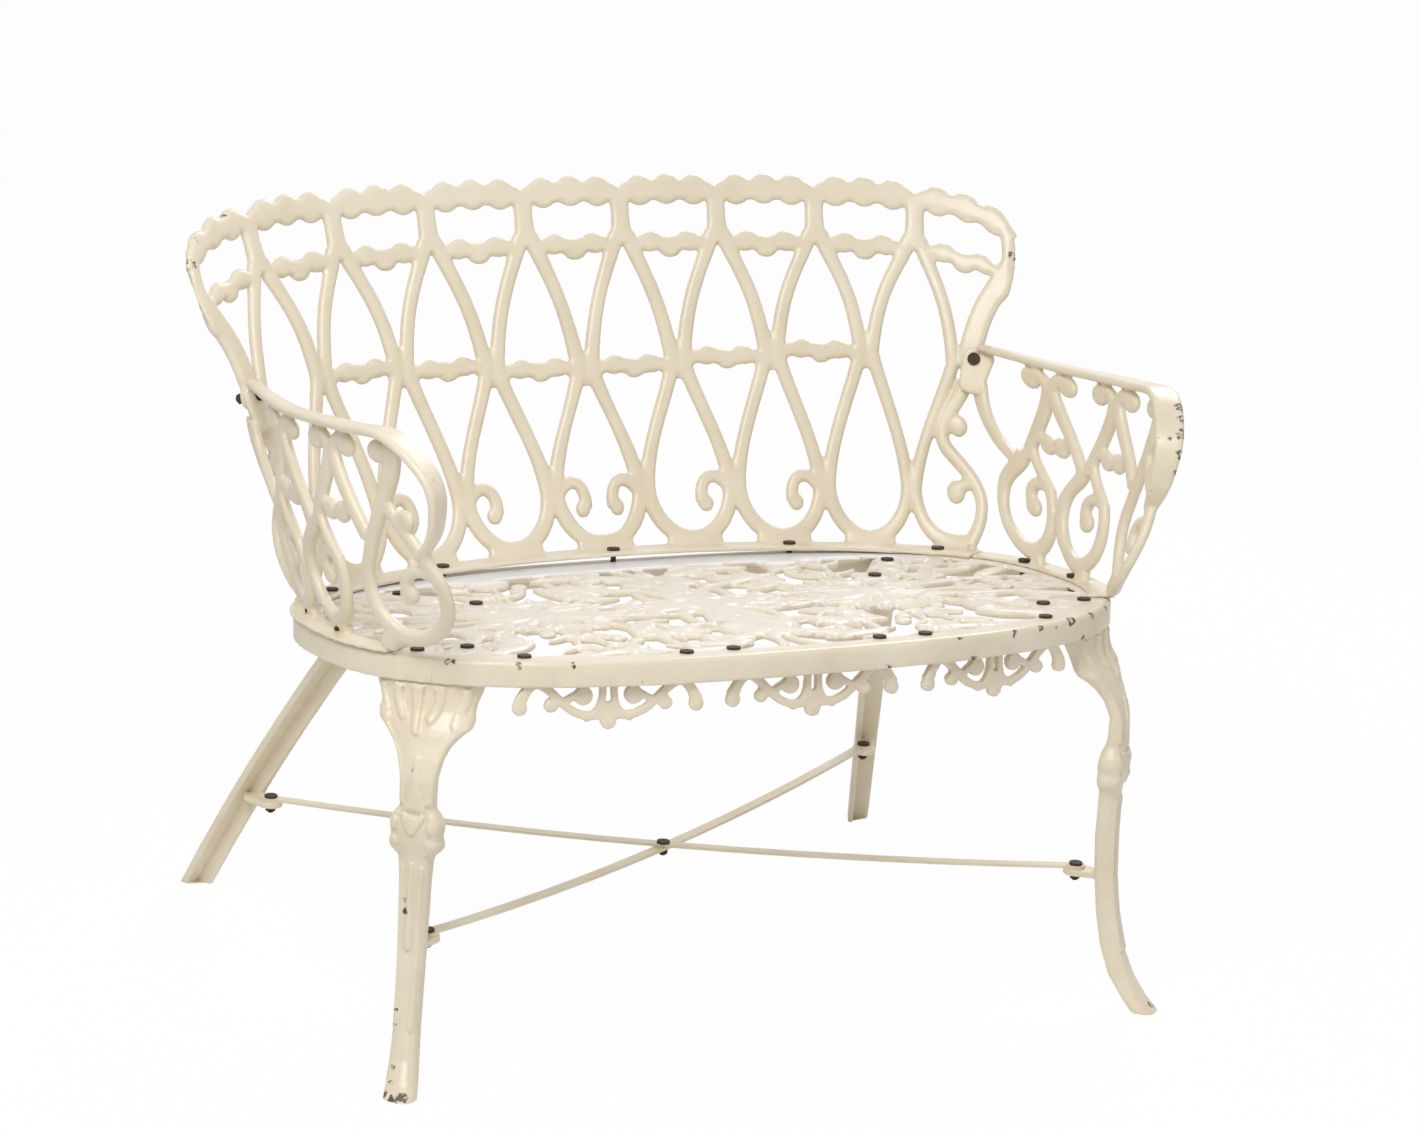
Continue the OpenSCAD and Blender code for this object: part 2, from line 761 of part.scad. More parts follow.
module front_leg() {
  difference() {
    union() {
      loft(concat(
        [[for (p = leg_ring(head_w, 28, 0)) [p[0], p[1], seat_plane(p[0], p[1], rim_h)]]],
        [for (r = leg_rings) [for (p = leg_ring(r[1] * head_w, r[2], r[3])) [p[0], p[1], r[0] * head_z]]]
      ));
      leg_lug(front_lug_at, lug_front_h, front_lug_at - [-17, 12]);
      on_seat()
        intersection() {
          union() {
            translate([0, 0, -plate_t - 6])
              linear_extrude(6)
                outline_shape(skirt_t + 0.5);
            translate([0, 0, -rim_h - 4])
              linear_extrude(rim_h + 4 - plate_t)
                difference() {
                  outline_shape(skirt_t + 0.5);
                  outline_shape(skirt_t + 14);
                }
          }
          translate([head_at[0], head_at[1], -50])
            rotate(leg_turn)
              translate([-head_w / 2 + 6, -20, 0])
                cube([head_w - 12, 84, 50]);
        }
    }
    translate([front_lug_at[0], front_lug_at[1], lug_front_h])
      hole(20);
    on_seat()
      for (b = front_leg_bolts)
        translate([b[0], b[1], -plate_t])
          hole(14);
  }
}

module front_right_leg() {
  color(paint)
    front_leg();
}

module front_left_leg() {
  color(paint)
    mirror([1, 0, 0])
      front_leg();
}

// Rear legs: an angle section that splays back and out
rear_turn = 25.6;
rear_dir = [sin(rear_turn), cos(rear_turn)];
rear_top = rear_leg_bolts[0] + rear_dir * 26;
rear_side = [cos(rear_turn), -sin(rear_turn)];
rear_web = 7;
rear_deep = 28;
rear_bow = 10;
function rear_angle() = [
  [-rear_w / 2, -rear_deep / 2], [-rear_w / 2 + rear_web, -rear_deep / 2],
  [-rear_w / 2 + rear_web, rear_deep / 2 - rear_web * 1.4], [rear_w / 2, rear_deep / 2 - rear_web * 1.4],
  [rear_w / 2, rear_deep / 2], [-rear_w / 2, rear_deep / 2]
];
function rear_axis(k) = rear_top + rear_dir * (rear_spread * k + rear_bow * 4 * k * (1 - k));
function rear_ring(k) = [for (q = rear_angle()) rear_axis(k) + rear_side * q[0] * lerp(1.1, 0.85, k) + rear_dir * q[1]];
rear_top_z = seat_plane(0, rear_top[1], plate_t + 3);
rear_steps = 7;
rear_lug_k = 1 - lug_rear_h / rear_top_z;
rear_lug_at = rear_axis(rear_lug_k) - rear_dir * 32 - rear_side * 4;

module rear_leg() {
  difference() {
    union() {
      loft(concat(
        [[for (p = rear_ring(0)) [p[0], p[1], seat_plane(p[0], p[1], plate_t + 3)]]],
        [for (i = [1 : rear_steps]) let (k = i / rear_steps) [for (p = rear_ring(k)) [p[0], p[1], rear_top_z * (1 - k)]]]
      ));
      leg_lug(rear_lug_at, lug_rear_h, rear_axis(rear_lug_k) - rear_dir * 6);
      on_seat()
        translate([0, 0, -plate_t - 6])
          linear_extrude(6)
            hull() {
              for (b = rear_leg_bolts)
                translate(b)
                  circle(r = 15, $fn = 20);
              translate(rear_top)
                circle(r = 16, $fn = 20);
            }
    }
    translate([rear_lug_at[0], rear_lug_at[1], lug_rear_h])
      hole(20);
    on_seat()
      for (b = rear_leg_bolts)
        translate([b[0], b[1], -plate_t])
          hole(14);
  }
}

module rear_right_leg() {
  color(paint)
    rear_leg();
}

module rear_left_leg() {
  color(paint)
    mirror([1, 0, 0])
      rear_leg();
}

// Aprons: one casting used three times
module apron_frame_2d(k) {
  translate([k < 0 ? -apron_place(k)[0] : apron_place(k)[0], apron_place(k)[1]])
    rotate(apron_angle(k))
      children();
}

module apron_scroll_half() {
  d = apron_drop;
  e = apron_w / 2;
  translate([e - 2, -0.48 * d])
    circle(r = 7.5, $fn = 16);
  curve([[e - 1, -0.4 * d], [e - 6, -0.2 * d], [e - 8, 0], [e - 22, 4]], [12, 8], 5);
  curve([[e - 18, 3], [e - 42, -0.12 * d], [e - 48, -0.86 * d], [5, -0.66 * d]], [9, 8, 8], 9);
  translate([e - 33, -0.44 * d])
    circle(r = 7, $fn = 16);
  curve([[e - 33, -0.4 * d], [e - 36, -0.36 * d], [e - 39, -0.34 * d], [e - 43, -0.34 * d]], [8, 7], 2);
  translate([25, -0.24 * d])
    circle(r = 9.5, $fn = 20);
  curve([[30, -0.2 * d], [36, -0.26 * d], [40, -0.3 * d], [44, -0.36 * d]], [8, 6], 2);
  curve([[24, -0.76 * d], [8, -0.66 * d], [4, -0.4 * d], [6, 4]], [7, 7], 6);
  translate([25, 0])
    square([8, 12], center = true);
}

module apron_casting() {
  top = rim_h - plate_t;
  translate([0, apron_t / 2 - 14, 0])
    rotate([90, 0, 0])
      linear_extrude(apron_t)
        offset(r = 1, $fn = 8)
          offset(delta = -1)
            union() {
              translate([0, -rim_h]) {
                apron_scroll_half();
                mirror([1, 0])
                  apron_scroll_half();
                translate([0, -0.82 * apron_drop])
                  circle(r = 8, $fn = 20);
                ribbon([[0, -0.8 * apron_drop], [0, -0.4 * apron_drop]], [13, 9]);
              }
              translate([-apron_w / 2 + 4, -rim_h])
                square([apron_w - 8, top]);
            }
  for (s = [-1, 1])
    difference() {
      translate([s * apron_pitch - 12, -14, -plate_t - 5])
        cube([24, 26, 5]);
      translate([s * apron_pitch, 0, 0])
        hole(20);
    }
}

module apron(k) {
  color(paint)
    on_seat()
      translate([k < 0 ? -apron_place(k)[0] : apron_place(k)[0], apron_place(k)[1], 0])
        rotate(apron_angle(k))
          apron_casting();
}

module apron_left() {
  apron(-1);
}

module apron_centre() {
  apron(0);
}

module apron_right() {
  apron(1);
}

// Stretchers: flat bars bolted on the lugs, one over the other at their crossing
crossing_y = lerp(front_lug_at[1], rear_lug_at[1], front_lug_at[0] / (front_lug_at[0] + rear_lug_at[0]));
crossing_z = lerp(lug_front_h, lug_rear_h, front_lug_at[0] / (front_lug_at[0] + rear_lug_at[0])) - bar_dip;
bar_steps = 12;

module stretcher(from, to, over) {
  a = [from[0], from[1], lug_front_h];
  b = [to[0], to[1], lug_rear_h];
  along = unit([b[0] - a[0], b[1] - a[1]]);
  side = [-along[1], along[0], 0];
  mid = from[0] / (from[0] - to[0]);
  function lift(k) = (over ? bar_t + 0.3 : 0) * max(0, 1 - pow((k - mid) / mid, 2));
  function sag(k) = bar_dip * (k < mid ? 1 - pow(1 - k / mid, 2) : 1 - pow((k - mid) / (1 - mid), 2));
  difference() {
    union() {
      loft([
        for (i = [0 : bar_steps])
          let (k = i / bar_steps, p = lerp(a, b, k) + [0, 0, lift(k) - sag(k)])
            [
              p + side * bar_w / 2,
              p - side * bar_w / 2,
              p - side * bar_w / 2 + [0, 0, bar_t],
              p + side * bar_w / 2 + [0, 0, bar_t]
            ]
      ]);
      for (p = [a, b])
        translate(p)
          cylinder(h = bar_t, d = bar_w + 8, $fn = 24);
    }
    for (p = [a, b])
      translate(p)
        hole(30);
    translate([0, crossing_y, crossing_z])
      hole(30);
  }
}

module stretcher_to_rear_right() {
  color(paint)
    stretcher([-front_lug_at[0], front_lug_at[1]], rear_lug_at, false);
}

module stretcher_to_rear_left() {
  color(paint)
    stretcher(front_lug_at, [-rear_lug_at[0], rear_lug_at[1]], true);
}

module crossing_bolt() {
  color(rust)
    translate([0, crossing_y, crossing_z + 2 * bar_t + 0.3])
      bolt(2 * bar_t + 0.3);
}

module crossing_nut() {
  color(rust)
    translate([0, crossing_y, crossing_z + 2 * bar_t + 0.3])
      nut(2 * bar_t + 0.3);
}

module at_lugs() {
  both_sides() {
    translate([front_lug_at[0], front_lug_at[1], lug_front_h + bar_t])
      children();
    translate([rear_lug_at[0], rear_lug_at[1], lug_rear_h + bar_t])
      children();
  }
}

module stretcher_bolts() {
  color(rust)
    at_lugs()
      bolt(bar_t + 7);
}

module stretcher_nuts() {
  color(rust)
    at_lugs()
      nut(bar_t + 7);
}

function back_grip(u) = bow(u) + flange_t + pad_t + plate_t;

module back_flange_bolts() {
  color(rust)
    on_seat()
      for (u = back_bolt_u)
        translate(back_bolt_at(u))
          bolt(back_grip(u));
}

module back_flange_nuts() {
  color(rust)
    on_seat()
      for (u = back_bolt_u)
        translate(back_bolt_at(u))
          nut(back_grip(u));
}

module arm_flange_bolts() {
  color(rust)
    on_seat()
      both_sides()
        for (s = arm_bolt_run)
          translate(arm_bolt_at(s))
            bolt(flange_t + plate_t);
}

module arm_flange_nuts() {
  color(rust)
    on_seat()
      both_sides()
        for (s = arm_bolt_run)
          translate(arm_bolt_at(s))
            nut(flange_t + plate_t);
}

module at_joints() {
  on_seat()
    both_sides()
      on_sheet(back_sheet, back_step, joint_uv)
        translate([0, 0, casting_t / 2 + joint_pad + lug_t])
          children();
}

module arm_joint_bolts() {
  color(rust)
    at_joints()
      bolt(casting_t + 2 * joint_pad + lug_t);
}

module arm_joint_nuts() {
  color(rust)
    at_joints()
      nut(casting_t + 2 * joint_pad + lug_t);
}

module at_seat_bolts(places) {
  on_seat()
    both_sides()
      for (b = places)
        translate([b[0], b[1], 0])
          children();
}

module front_leg_bolts() {
  color(rust)
    at_seat_bolts(front_leg_bolts)
      bolt(plate_t + 6);
}

module front_leg_nuts() {
  color(rust)
    at_seat_bolts(front_leg_bolts)
      nut(plate_t + 6);
}

module rear_leg_bolts() {
  color(rust)
    at_seat_bolts(rear_leg_bolts)
      bolt(plate_t + 6);
}

module rear_leg_nuts() {
  color(rust)
    at_seat_bolts(rear_leg_bolts)
      nut(plate_t + 6);
}

module at_apron_bolts() {
  on_seat()
    for (k = apron_runs, s = [-1, 1])
      translate([k < 0 ? -apron_place(k)[0] : apron_place(k)[0], apron_place(k)[1], 0])
        rotate(apron_angle(k))
          translate([s * apron_pitch, 0, 0])
            children();
}

module apron_bolts() {
  color(rust)
    at_apron_bolts()
      bolt(plate_t + 5);
}

module apron_nuts() {
  color(rust)
    at_apron_bolts()
      nut(plate_t + 5);
}

back_panel();
left_arm();
right_arm();
seat();
front_left_leg();
front_right_leg();
rear_left_leg();
rear_right_leg();
apron_left();
apron_centre();
apron_right();
stretcher_to_rear_right();
stretcher_to_rear_left();
crossing_bolt();
crossing_nut();
stretcher_bolts();
stretcher_nuts();
back_flange_bolts();
back_flange_nuts();
arm_flange_bolts();
arm_flange_nuts();
arm_joint_bolts();
arm_joint_nuts();
front_leg_bolts();
front_leg_nuts();
rear_leg_bolts();
rear_leg_nuts();
apron_bolts();
apron_nuts();
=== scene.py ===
import json
import math

import bmesh
import bpy
import numpy as np
from mathutils import Matrix, Vector


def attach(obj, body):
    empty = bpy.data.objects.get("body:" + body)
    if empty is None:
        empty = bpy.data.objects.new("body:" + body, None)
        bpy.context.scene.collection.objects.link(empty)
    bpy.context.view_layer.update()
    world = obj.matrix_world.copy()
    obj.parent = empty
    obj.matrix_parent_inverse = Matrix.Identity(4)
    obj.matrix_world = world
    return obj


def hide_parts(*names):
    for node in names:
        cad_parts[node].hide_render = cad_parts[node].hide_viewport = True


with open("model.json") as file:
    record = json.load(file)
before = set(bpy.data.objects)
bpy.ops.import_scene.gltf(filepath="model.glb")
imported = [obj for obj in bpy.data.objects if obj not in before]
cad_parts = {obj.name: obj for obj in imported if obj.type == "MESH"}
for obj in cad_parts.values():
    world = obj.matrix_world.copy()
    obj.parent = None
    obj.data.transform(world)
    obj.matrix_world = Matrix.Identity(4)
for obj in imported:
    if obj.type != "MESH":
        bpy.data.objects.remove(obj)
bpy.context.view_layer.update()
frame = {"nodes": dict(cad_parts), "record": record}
nodes = frame["nodes"]
print("frame loaded")

# Sizes are in millimetres, in the seat's own frame, until seatPlace() tips them and makes them metres
mm = 0.001
bench = {
    "seatWidth": 870, "seatDepth": 520, "seatPower": 2.6, "seatY": -77, "seatHeight": 401, "seatTilt": 5.5,
    "rimHeight": 26, "seamRun": 430, "legRun": 407, "baseSqueeze": 0.12, "casting": 11,
    "cells": 9, "backHeight": 392, "backLean": 116, "backOut": 1, "backRise": 0.8, "cornerPower": 8,
    "flangeBow": 7, "flangeThick": 5, "flangeIn": 29, "flangeOut": 6.5,
    "armLength": 290, "armHeight": 217, "armCells": 3, "armSkew": 0.42, "armFoot": 16, "armBelly": 6,
    "armBack": 150, "armFront": 50, "jointU": 4.2, "jointV": 0.535, "railWidth": 27, "railThick": 8,
}
halfCells = bench["cells"] / 2
semiX = bench["seatWidth"] / 2
semiY = bench["seatDepth"] / 2
frontY = bench["seatY"] - semiY
tilt = math.radians(bench["seatTilt"])


# The seat's outline and the two bent sheets that carry the openwork

def outlineAt(angle, inset=0.0):
    # angle in degrees from the middle of the back, inset inwards from the rim's outer face
    t = np.radians(np.asarray(angle, float))
    s, c = np.sin(t), np.cos(t)
    e = 2 / bench["seatPower"]
    nx = np.sign(s) * np.abs(s) ** (2 - e) / semiX
    ny = np.sign(c) * np.abs(c) ** (2 - e) / semiY
    length = np.hypot(nx, ny)
    x = semiX * np.sign(s) * np.abs(s) ** e - nx / length * inset
    y = bench["seatY"] + semiY * np.sign(c) * np.abs(c) ** e - ny / length * inset
    return np.stack([x, y], -1)


outlineAngles = np.arange(0, 181, 2.0)
outlineLine = outlineAt(outlineAngles)
outlineRuns = np.concatenate([[0], np.cumsum(np.linalg.norm(np.diff(outlineLine, axis=0), axis=1))])
halfRim = outlineRuns[-1]


def rimAt(run, inset=0.0):
    # run is the way along the rim from the middle of its back, negative to the left
    run = np.asarray(run, float)
    p = outlineAt(np.interp(np.abs(run), outlineRuns, outlineAngles), inset)
    p[..., 0] *= np.where(run < 0, -1, 1)
    return p


def baseRun(u):
    k = u / halfCells
    return bench["seamRun"] * k * (1 + bench["baseSqueeze"] * (1 - k ** 2))


def crestCurve(cell, turn, curl, drop):
    length, steps = cell * halfCells, 36
    angles = np.radians(turn * ((np.arange(steps) + 0.5) / steps) ** curl)
    xs = np.concatenate([[0], np.cumsum(np.cos(angles))]) * length / steps
    ys = np.concatenate([[0], np.cumsum(np.sin(angles))]) * length / steps
    return cell, np.linspace(0, length, steps + 1), xs, bench["seatY"] + semiY + bench["backLean"] - ys, drop


# the back follows one curve up to the arms' joint and runs out to a wider one at the crest
jointCurve = crestCurve(cell=114.5, turn=45, curl=1.7, drop=34)
crestTopCurve = crestCurve(cell=116, turn=50, curl=2.3, drop=42)


def bow(u):
    return bench["flangeBow"] * (1 + np.cos(np.pi * np.clip(u / halfCells, -1, 1))) / 2


def backReach(u, v, curve):
    cell, runs, xs, ys, drop = curve
    foot = rimAt(baseRun(u), -bench["backOut"])
    run = np.abs(u) * cell
    crest = np.stack([np.sign(u) * np.interp(run, runs, xs), np.interp(run, runs, ys)], -1)
    k = (np.sign(v) * (np.abs(v) / bench["backHeight"]) ** bench["backRise"])[..., None]
    rise = 1 - drop / bench["backHeight"] * (np.abs(u) / halfCells) ** bench["cornerPower"]
    z = bow(u) + bench["flangeThick"] + v * rise
    return np.concatenate([foot + (crest - foot) * k, z[..., None]], -1)


jointV = bench["jointV"] * bench["backHeight"]


def backAt(u, v):
    # u counts cells from the middle, v is millimetres up the sheet
    u, v = np.asarray(u, float), np.asarray(v, float)
    k = np.clip((v - jointV) / (bench["backHeight"] - jointV), 0, 1)
    k = (k * k * (3 - 2 * k))[..., None]
    low, high = backReach(u, v, jointCurve), backReach(u, v, crestTopCurve)
    return low + (high - low) * k


joint = backAt(np.array([bench["jointU"]]), np.array([jointV]))[0]

railLook = {
    "start": (0, -9, 16),  # from the joint with the back
    # share of the way to the seat's front, out from its side, up from armHeight
    "knots": [(0.375, 10, 0), (0.69, 5, 5), (0.855, -9, 5),
              (0.955, -30, -32), (0.945, -36, -77), (0.89, -32, -110)],
    "widths": [0.5, 0.76, 0.95, 1.15, 1.1, 0.9, 0.5],
    "turns": [0, 0, 6, 20, 34, 38, 38],
    "dome": 0.75, "spareThick": 0.7,
}
railKnots = np.array([joint + railLook["start"]] + [
    [semiX + out, bench["armBack"] + (frontY - bench["armBack"]) * k, bench["armHeight"] + up]
    for k, out, up in railLook["knots"]])


def railAt(t):
    t = np.asarray(t, float)
    last = len(railKnots) - 1
    i = np.clip(np.floor(t).astype(int), 0, last - 1)
    k = (t - i)[..., None]
    a, b = railKnots[np.clip(i - 1, 0, last)], railKnots[i]
    c, d = railKnots[i + 1], railKnots[np.clip(i + 2, 0, last)]
    curve = (2 * a - 5 * b + 4 * c - d) * k ** 2 + (3 * b - a - 3 * c + d) * k ** 3
    return 0.5 * (2 * b + (c - a) * k + curve)


railSamples = railAt(np.arange(0, 3.01, 0.25))  # the part of the rail over the openwork


def armAt(p, f):
    # p counts the arm's cells forward from the seam, f is the share of the way up to the rail
    p, f = np.asarray(p, float), np.asarray(f, float)
    run = bench["seamRun"] + (p + bench["armSkew"]) * bench["armLength"] / bench["armCells"]
    foot = bench["armFoot"] * np.clip(bench["armCells"] - p - bench["armSkew"], -1, 1)
    edge = rimAt(run)
    outward = edge - rimAt(run, 1.0)
    base = edge - outward * foot[..., None]
    swell = outward * (bench["armBelly"] * np.sin(np.pi * f))[..., None]
    y = bench["armBack"] + (frontY + bench["armFront"] - bench["armBack"]) * p / bench["armCells"]
    low = np.concatenate([base, np.full(p.shape + (1,), float(bench["flangeThick"]))], -1)
    x, z = (np.interp(-y, -railSamples[:, 1], railSamples[:, k]) for k in (0, 2))
    high = np.stack([x, y, z - bench["railThick"] / 2], -1)
    swollen = np.concatenate([swell, np.zeros(p.shape + (1,))], -1)
    return low + (high - low) * f[..., None] + swollen


def unitRows(a):
    return a / np.linalg.norm(a, axis=-1, keepdims=True)


def sheetPlace(sheet, a, b, depth, da, db):
    # a point at depth behind the sheet, along the sheet's own normal
    across = sheet(a + da, b) - sheet(a - da, b)
    upward = sheet(a, b + db) - sheet(a, b - db)
    return sheet(a, b) - unitRows(np.cross(across, upward)) * depth[..., None]


def seatPlace(points):
    x, y, z = points[:, 0], points[:, 1], points[:, 2]
    return np.stack([x, y * math.cos(tilt) + z * math.sin(tilt),
                     -y * math.sin(tilt) + z * math.cos(tilt) + bench["seatHeight"]], 1) * mm


# Small tools

def bezier(points, steps=12):
    p = np.array(points, float)
    k = np.linspace(0, 1, steps + 1)[:, None]
    m = 1 - k
    return m ** 3 * p[0] + 3 * m ** 2 * k * p[1] + 3 * m * k ** 2 * p[2] + k ** 3 * p[3]


def widthsAlong(widths, count):
    return np.interp(np.linspace(0, 1, count), np.linspace(0, 1, len(widths)), widths)


def curvedStrand(points, widths):
    path = bezier(points)
    return path, widthsAlong(widths, len(path))


def evenLine(*half):
    # half a line, from its end to its centre as (away, height), and then its mirror image
    return [(-x, y) for x, y in half] + [(x, y) for x, y in half[::-1] if x]


def meshCoords(mesh):
    co = np.empty(len(mesh.vertices) * 3, np.float64)
    mesh.vertices.foreach_get("co", co)
    return co.reshape(-1, 3)


def setMeshCoords(mesh, co):
    mesh.vertices.foreach_set("co", np.ascontiguousarray(co, np.float32).ravel())
    mesh.update()


def softLimit(values, limit, power=4):
    return values / (1 + (np.abs(values) / limit) ** power) ** (1 / power)


def addObject(name, data):
    data.name = name
    obj = bpy.data.objects.new(name, data)
    bpy.context.scene.collection.objects.link(obj)
    return obj


def toMesh(bm, name):
    mesh = bpy.data.meshes.new(name)
    bm.to_mesh(mesh)
    bm.free()
    return mesh


def strandMesh(strands, sides=3):
    # each strand is (points on the flat, widths); x runs along the sheet, z up it and y through it
    data = bpy.data.curves.new("strands", "CURVE")
    data.dimensions = "3D"
    data.bevel_depth = 1.0
    data.bevel_resolution = sides
    data.use_fill_caps = True
    for points, widths in strands:
        spline = data.splines.new("POLY")
        spline.points.add(len(points) - 1)
        for knot, (x, z), width in zip(spline.points, points, widths):
            knot.co = (x, 0, z, 1)
            knot.radius = width / 2
    holder = addObject("strands", data)
    bpy.context.view_layer.update()
    mesh = bpy.data.meshes.new_from_object(holder.evaluated_get(bpy.context.evaluated_depsgraph_get()))
    bpy.data.objects.remove(holder)
    return mesh


def lobeMesh(lobes):
    # each lobe is (x, z, half width, half height, half thickness, turn in degrees)
    bm = bmesh.new()
    for x, z, wide, high, thick, turn in lobes:
        turned = Matrix.Translation((x, 0, z)) @ Matrix.Rotation(math.radians(turn), 4, "Y")
        bmesh.ops.create_uvsphere(bm, u_segments=16, v_segments=10, radius=1,
                                  matrix=turned @ Matrix.Diagonal((wide, thick, high, 1)))
    return toMesh(bm, "lobes")


def joined(meshes):
    bm = bmesh.new()
    for mesh in meshes:
        bm.from_mesh(mesh)
        bpy.data.meshes.remove(mesh)
    return toMesh(bm, "joined")


def castSolid(name, meshes, look):
    # fuses overlapping members into one skin with soft inner corners, as sand casting leaves them
    obj = addObject(name, joined(meshes))
    remesh = obj.modifiers.new("skin", "REMESH")
    remesh.mode = "VOXEL"
    remesh.voxel_size = look["voxel"] * mm
    smooth = obj.modifiers.new("soften", "SMOOTH")
    smooth.factor = 0.5
    smooth.iterations = look["softRounds"]
    thin = obj.modifiers.new("thin", "DECIMATE")
    thin.ratio = look["keep"]
    bpy.context.view_layer.update()
    result = bpy.data.meshes.new_from_object(obj.evaluated_get(bpy.context.evaluated_depsgraph_get()))
    obj.modifiers.clear()
    old = obj.data
    obj.data = result
    result.name = name
    bpy.data.meshes.remove(old)
    result.polygons.foreach_set("use_smooth", [True] * len(result.polygons))
    result.update()
    # painted shade for the inner corners, stored in the hollow attribute
    markHollows(obj)
    print(name, len(result.polygons), "faces")
    return obj


def mirroredCopy(obj, name):
    bm = bmesh.new()
    bm.from_mesh(obj.data)
    bmesh.ops.scale(bm, vec=(-1, 1, 1), verts=bm.verts)
    bmesh.ops.reverse_faces(bm, faces=bm.faces)
    mesh = toMesh(bm, name)
    mesh.polygons.foreach_set("use_smooth", [True] * len(mesh.polygons))
    return addObject(name, mesh)


def rimStrip(runStart, runEnd, steps, outer, inner, low, high, lift=None):
    # a band that follows the rim between two runs, from outer to inner inset and from low to high
    bm = bmesh.new()
    bmesh.ops.create_cube(bm, size=1)
    for edge in range(1, steps):
        bmesh.ops.bisect_plane(bm, geom=bm.verts[:] + bm.edges[:] + bm.faces[:],
                               plane_co=(edge / steps - 0.5, 0, 0), plane_no=(1, 0, 0))
    mesh = toMesh(bm, "strip")
    co = meshCoords(mesh)
    run = runStart + (runEnd - runStart) * (co[:, 0] + 0.5)
    xy = np.where(co[:, 1:2] > 0, rimAt(run, outer), rimAt(run, inner))
    z = np.where(co[:, 2] > 0, high, low) + (lift(run) if lift else 0)
    setMeshCoords(mesh, seatPlace(np.column_stack([xy, z])))
    return mesh


def padMesh(places, look):
    # round pads under the bolts, each place is (x, y, base z) in the seat's frame
    bm, height = bmesh.new(), look["padHeight"]
    for x, y, z in places:
        bmesh.ops.create_cone(bm, cap_ends=True, segments=24, radius1=look["padRadius"],
                              radius2=look["padTop"], depth=height,
                              matrix=Matrix.Translation((x, y, z + height / 2)))
    mesh = toMesh(bm, "pads")
    setMeshCoords(mesh, seatPlace(meshCoords(mesh)))
    return mesh


def convexMesh(discs, thick, place):
    # a plate with round corners, each disc is (x, y, radius)
    bm = bmesh.new()
    for x, y, radius in discs:
        bmesh.ops.create_cone(bm, cap_ends=True, segments=24, radius1=radius, radius2=radius, depth=thick,
                              matrix=Matrix.Translation((x, y, 0)))
    inside = set(bmesh.ops.convex_hull(bm, input=bm.verts)["geom_interior"])
    bmesh.ops.delete(bm, geom=[v for v in bm.verts if v in inside], context="VERTS")
    mesh = toMesh(bm, "hull")
    setMeshCoords(mesh, place(meshCoords(mesh)))
    return mesh


def sheetDrawing(look):
    # openwork drawn on the flat: its two lists, and the two functions that add to them
    strands, lobes, scale = [], [], look["scale"]

    def strand(centre, side, points, widths):
        path = np.array([(centre + x * side, y) for x, y in points], float)
        path = (bezier(path, 14) if len(path) == 4 else path) * scale
        strands.append((path, widthsAlong(widths, len(path)) + look["grow"]))

    def lobe(x, z, wide, high=None, thick=None, turn=0):
        lobes.append((x * scale[0], z * scale[1], wide, high or wide, thick or look["lobeThick"], turn))

    return strands, lobes, strand, lobe


def bentOpenwork(drawing, sheet, look):
    # bends the drawing to its sheet and limits its thickness
    strands, lobes = drawing
    mesh = joined([strandMesh(strands), lobeMesh(lobes)])
    co = meshCoords(mesh)
    depth = softLimit(co[:, 1], look["halfThick"])
    placed = sheetPlace(sheet, co[:, 0] / look["scale"][0], co[:, 2] / look["scale"][1], depth, *look["step"])
    setMeshCoords(mesh, seatPlace(placed))
    return mesh


# Finishes

paintLook = {
    "base": (0.79, 0.70, 0.535, 1), "worn": (0.68, 0.575, 0.42, 1), "pale": (0.85, 0.78, 0.66, 1),
    # below, the near-white colour is painted highlight for the seat's leaf tops and back ledge, the tan one
    # painted shade for the inner corners; chip is real bare metal
    "highlightWhite": (0.88, 0.86, 0.86, 1), "hollowShade": (0.58, 0.46, 0.29, 1), "chip": (0.1, 0.06, 0.035, 1),
    # noises: scale, detail, roughness
    "clouds": (11.0, 4.0, 0.6), "grain": (260.0, 3.0, 0.55),
    "lumps": (70.0, 2.0, 0.5), "flecks": (190.0, 5.0, 0.7),
    "wornBelow": 0.34, "paleAbove": 0.66, "cloudShare": 0.35, "chipFrom": 1.15, "chipFull": 1.24,
    "hollowFrom": 0.015, "hollowSpan": 0.09, "hollowRounds": 3,
    "smoothest": 0.24, "roughest": 0.4, "bump": 0.16, "bumpDepth": 0.0012,
}
rustLook = {
    "dark": (0.018, 0.012, 0.010, 1), "light": (0.10, 0.055, 0.03, 1), "mottle": (240.0, 6.0, 0.7),
    "darkBelow": 0.35, "lightAbove": 0.7, "roughness": 0.7, "metallic": 0.3, "bump": 0.4, "bumpDepth": 0.0008,
}


def setInputs(tree, node, inputs):
    # a socket is linked, a plain value is set
    for key, value in inputs.items():
        if isinstance(value, bpy.types.NodeSocket):
            tree.links.new(value, node.inputs[key])
        else:
            node.inputs[key].default_value = value


def shaderNode(tree, kind, at, inputs=None, **settings):
    node = tree.nodes.new("ShaderNode" + kind)
    node.location = at
    for key, value in settings.items():
        setattr(node, key, value)
    setInputs(tree, node, inputs or {})
    return node


def newMaterial(name):
    material = bpy.data.materials.new(name)
    material.use_nodes = True
    tree = material.node_tree
    return material, tree, tree.nodes["Principled BSDF"]


def noiseOn(tree, coords, at, noise):
    inputs = dict(zip(("Scale", "Detail", "Roughness"), noise), Vector=coords.outputs["Object"])
    return shaderNode(tree, "TexNoise", at, inputs).outputs["Fac"]


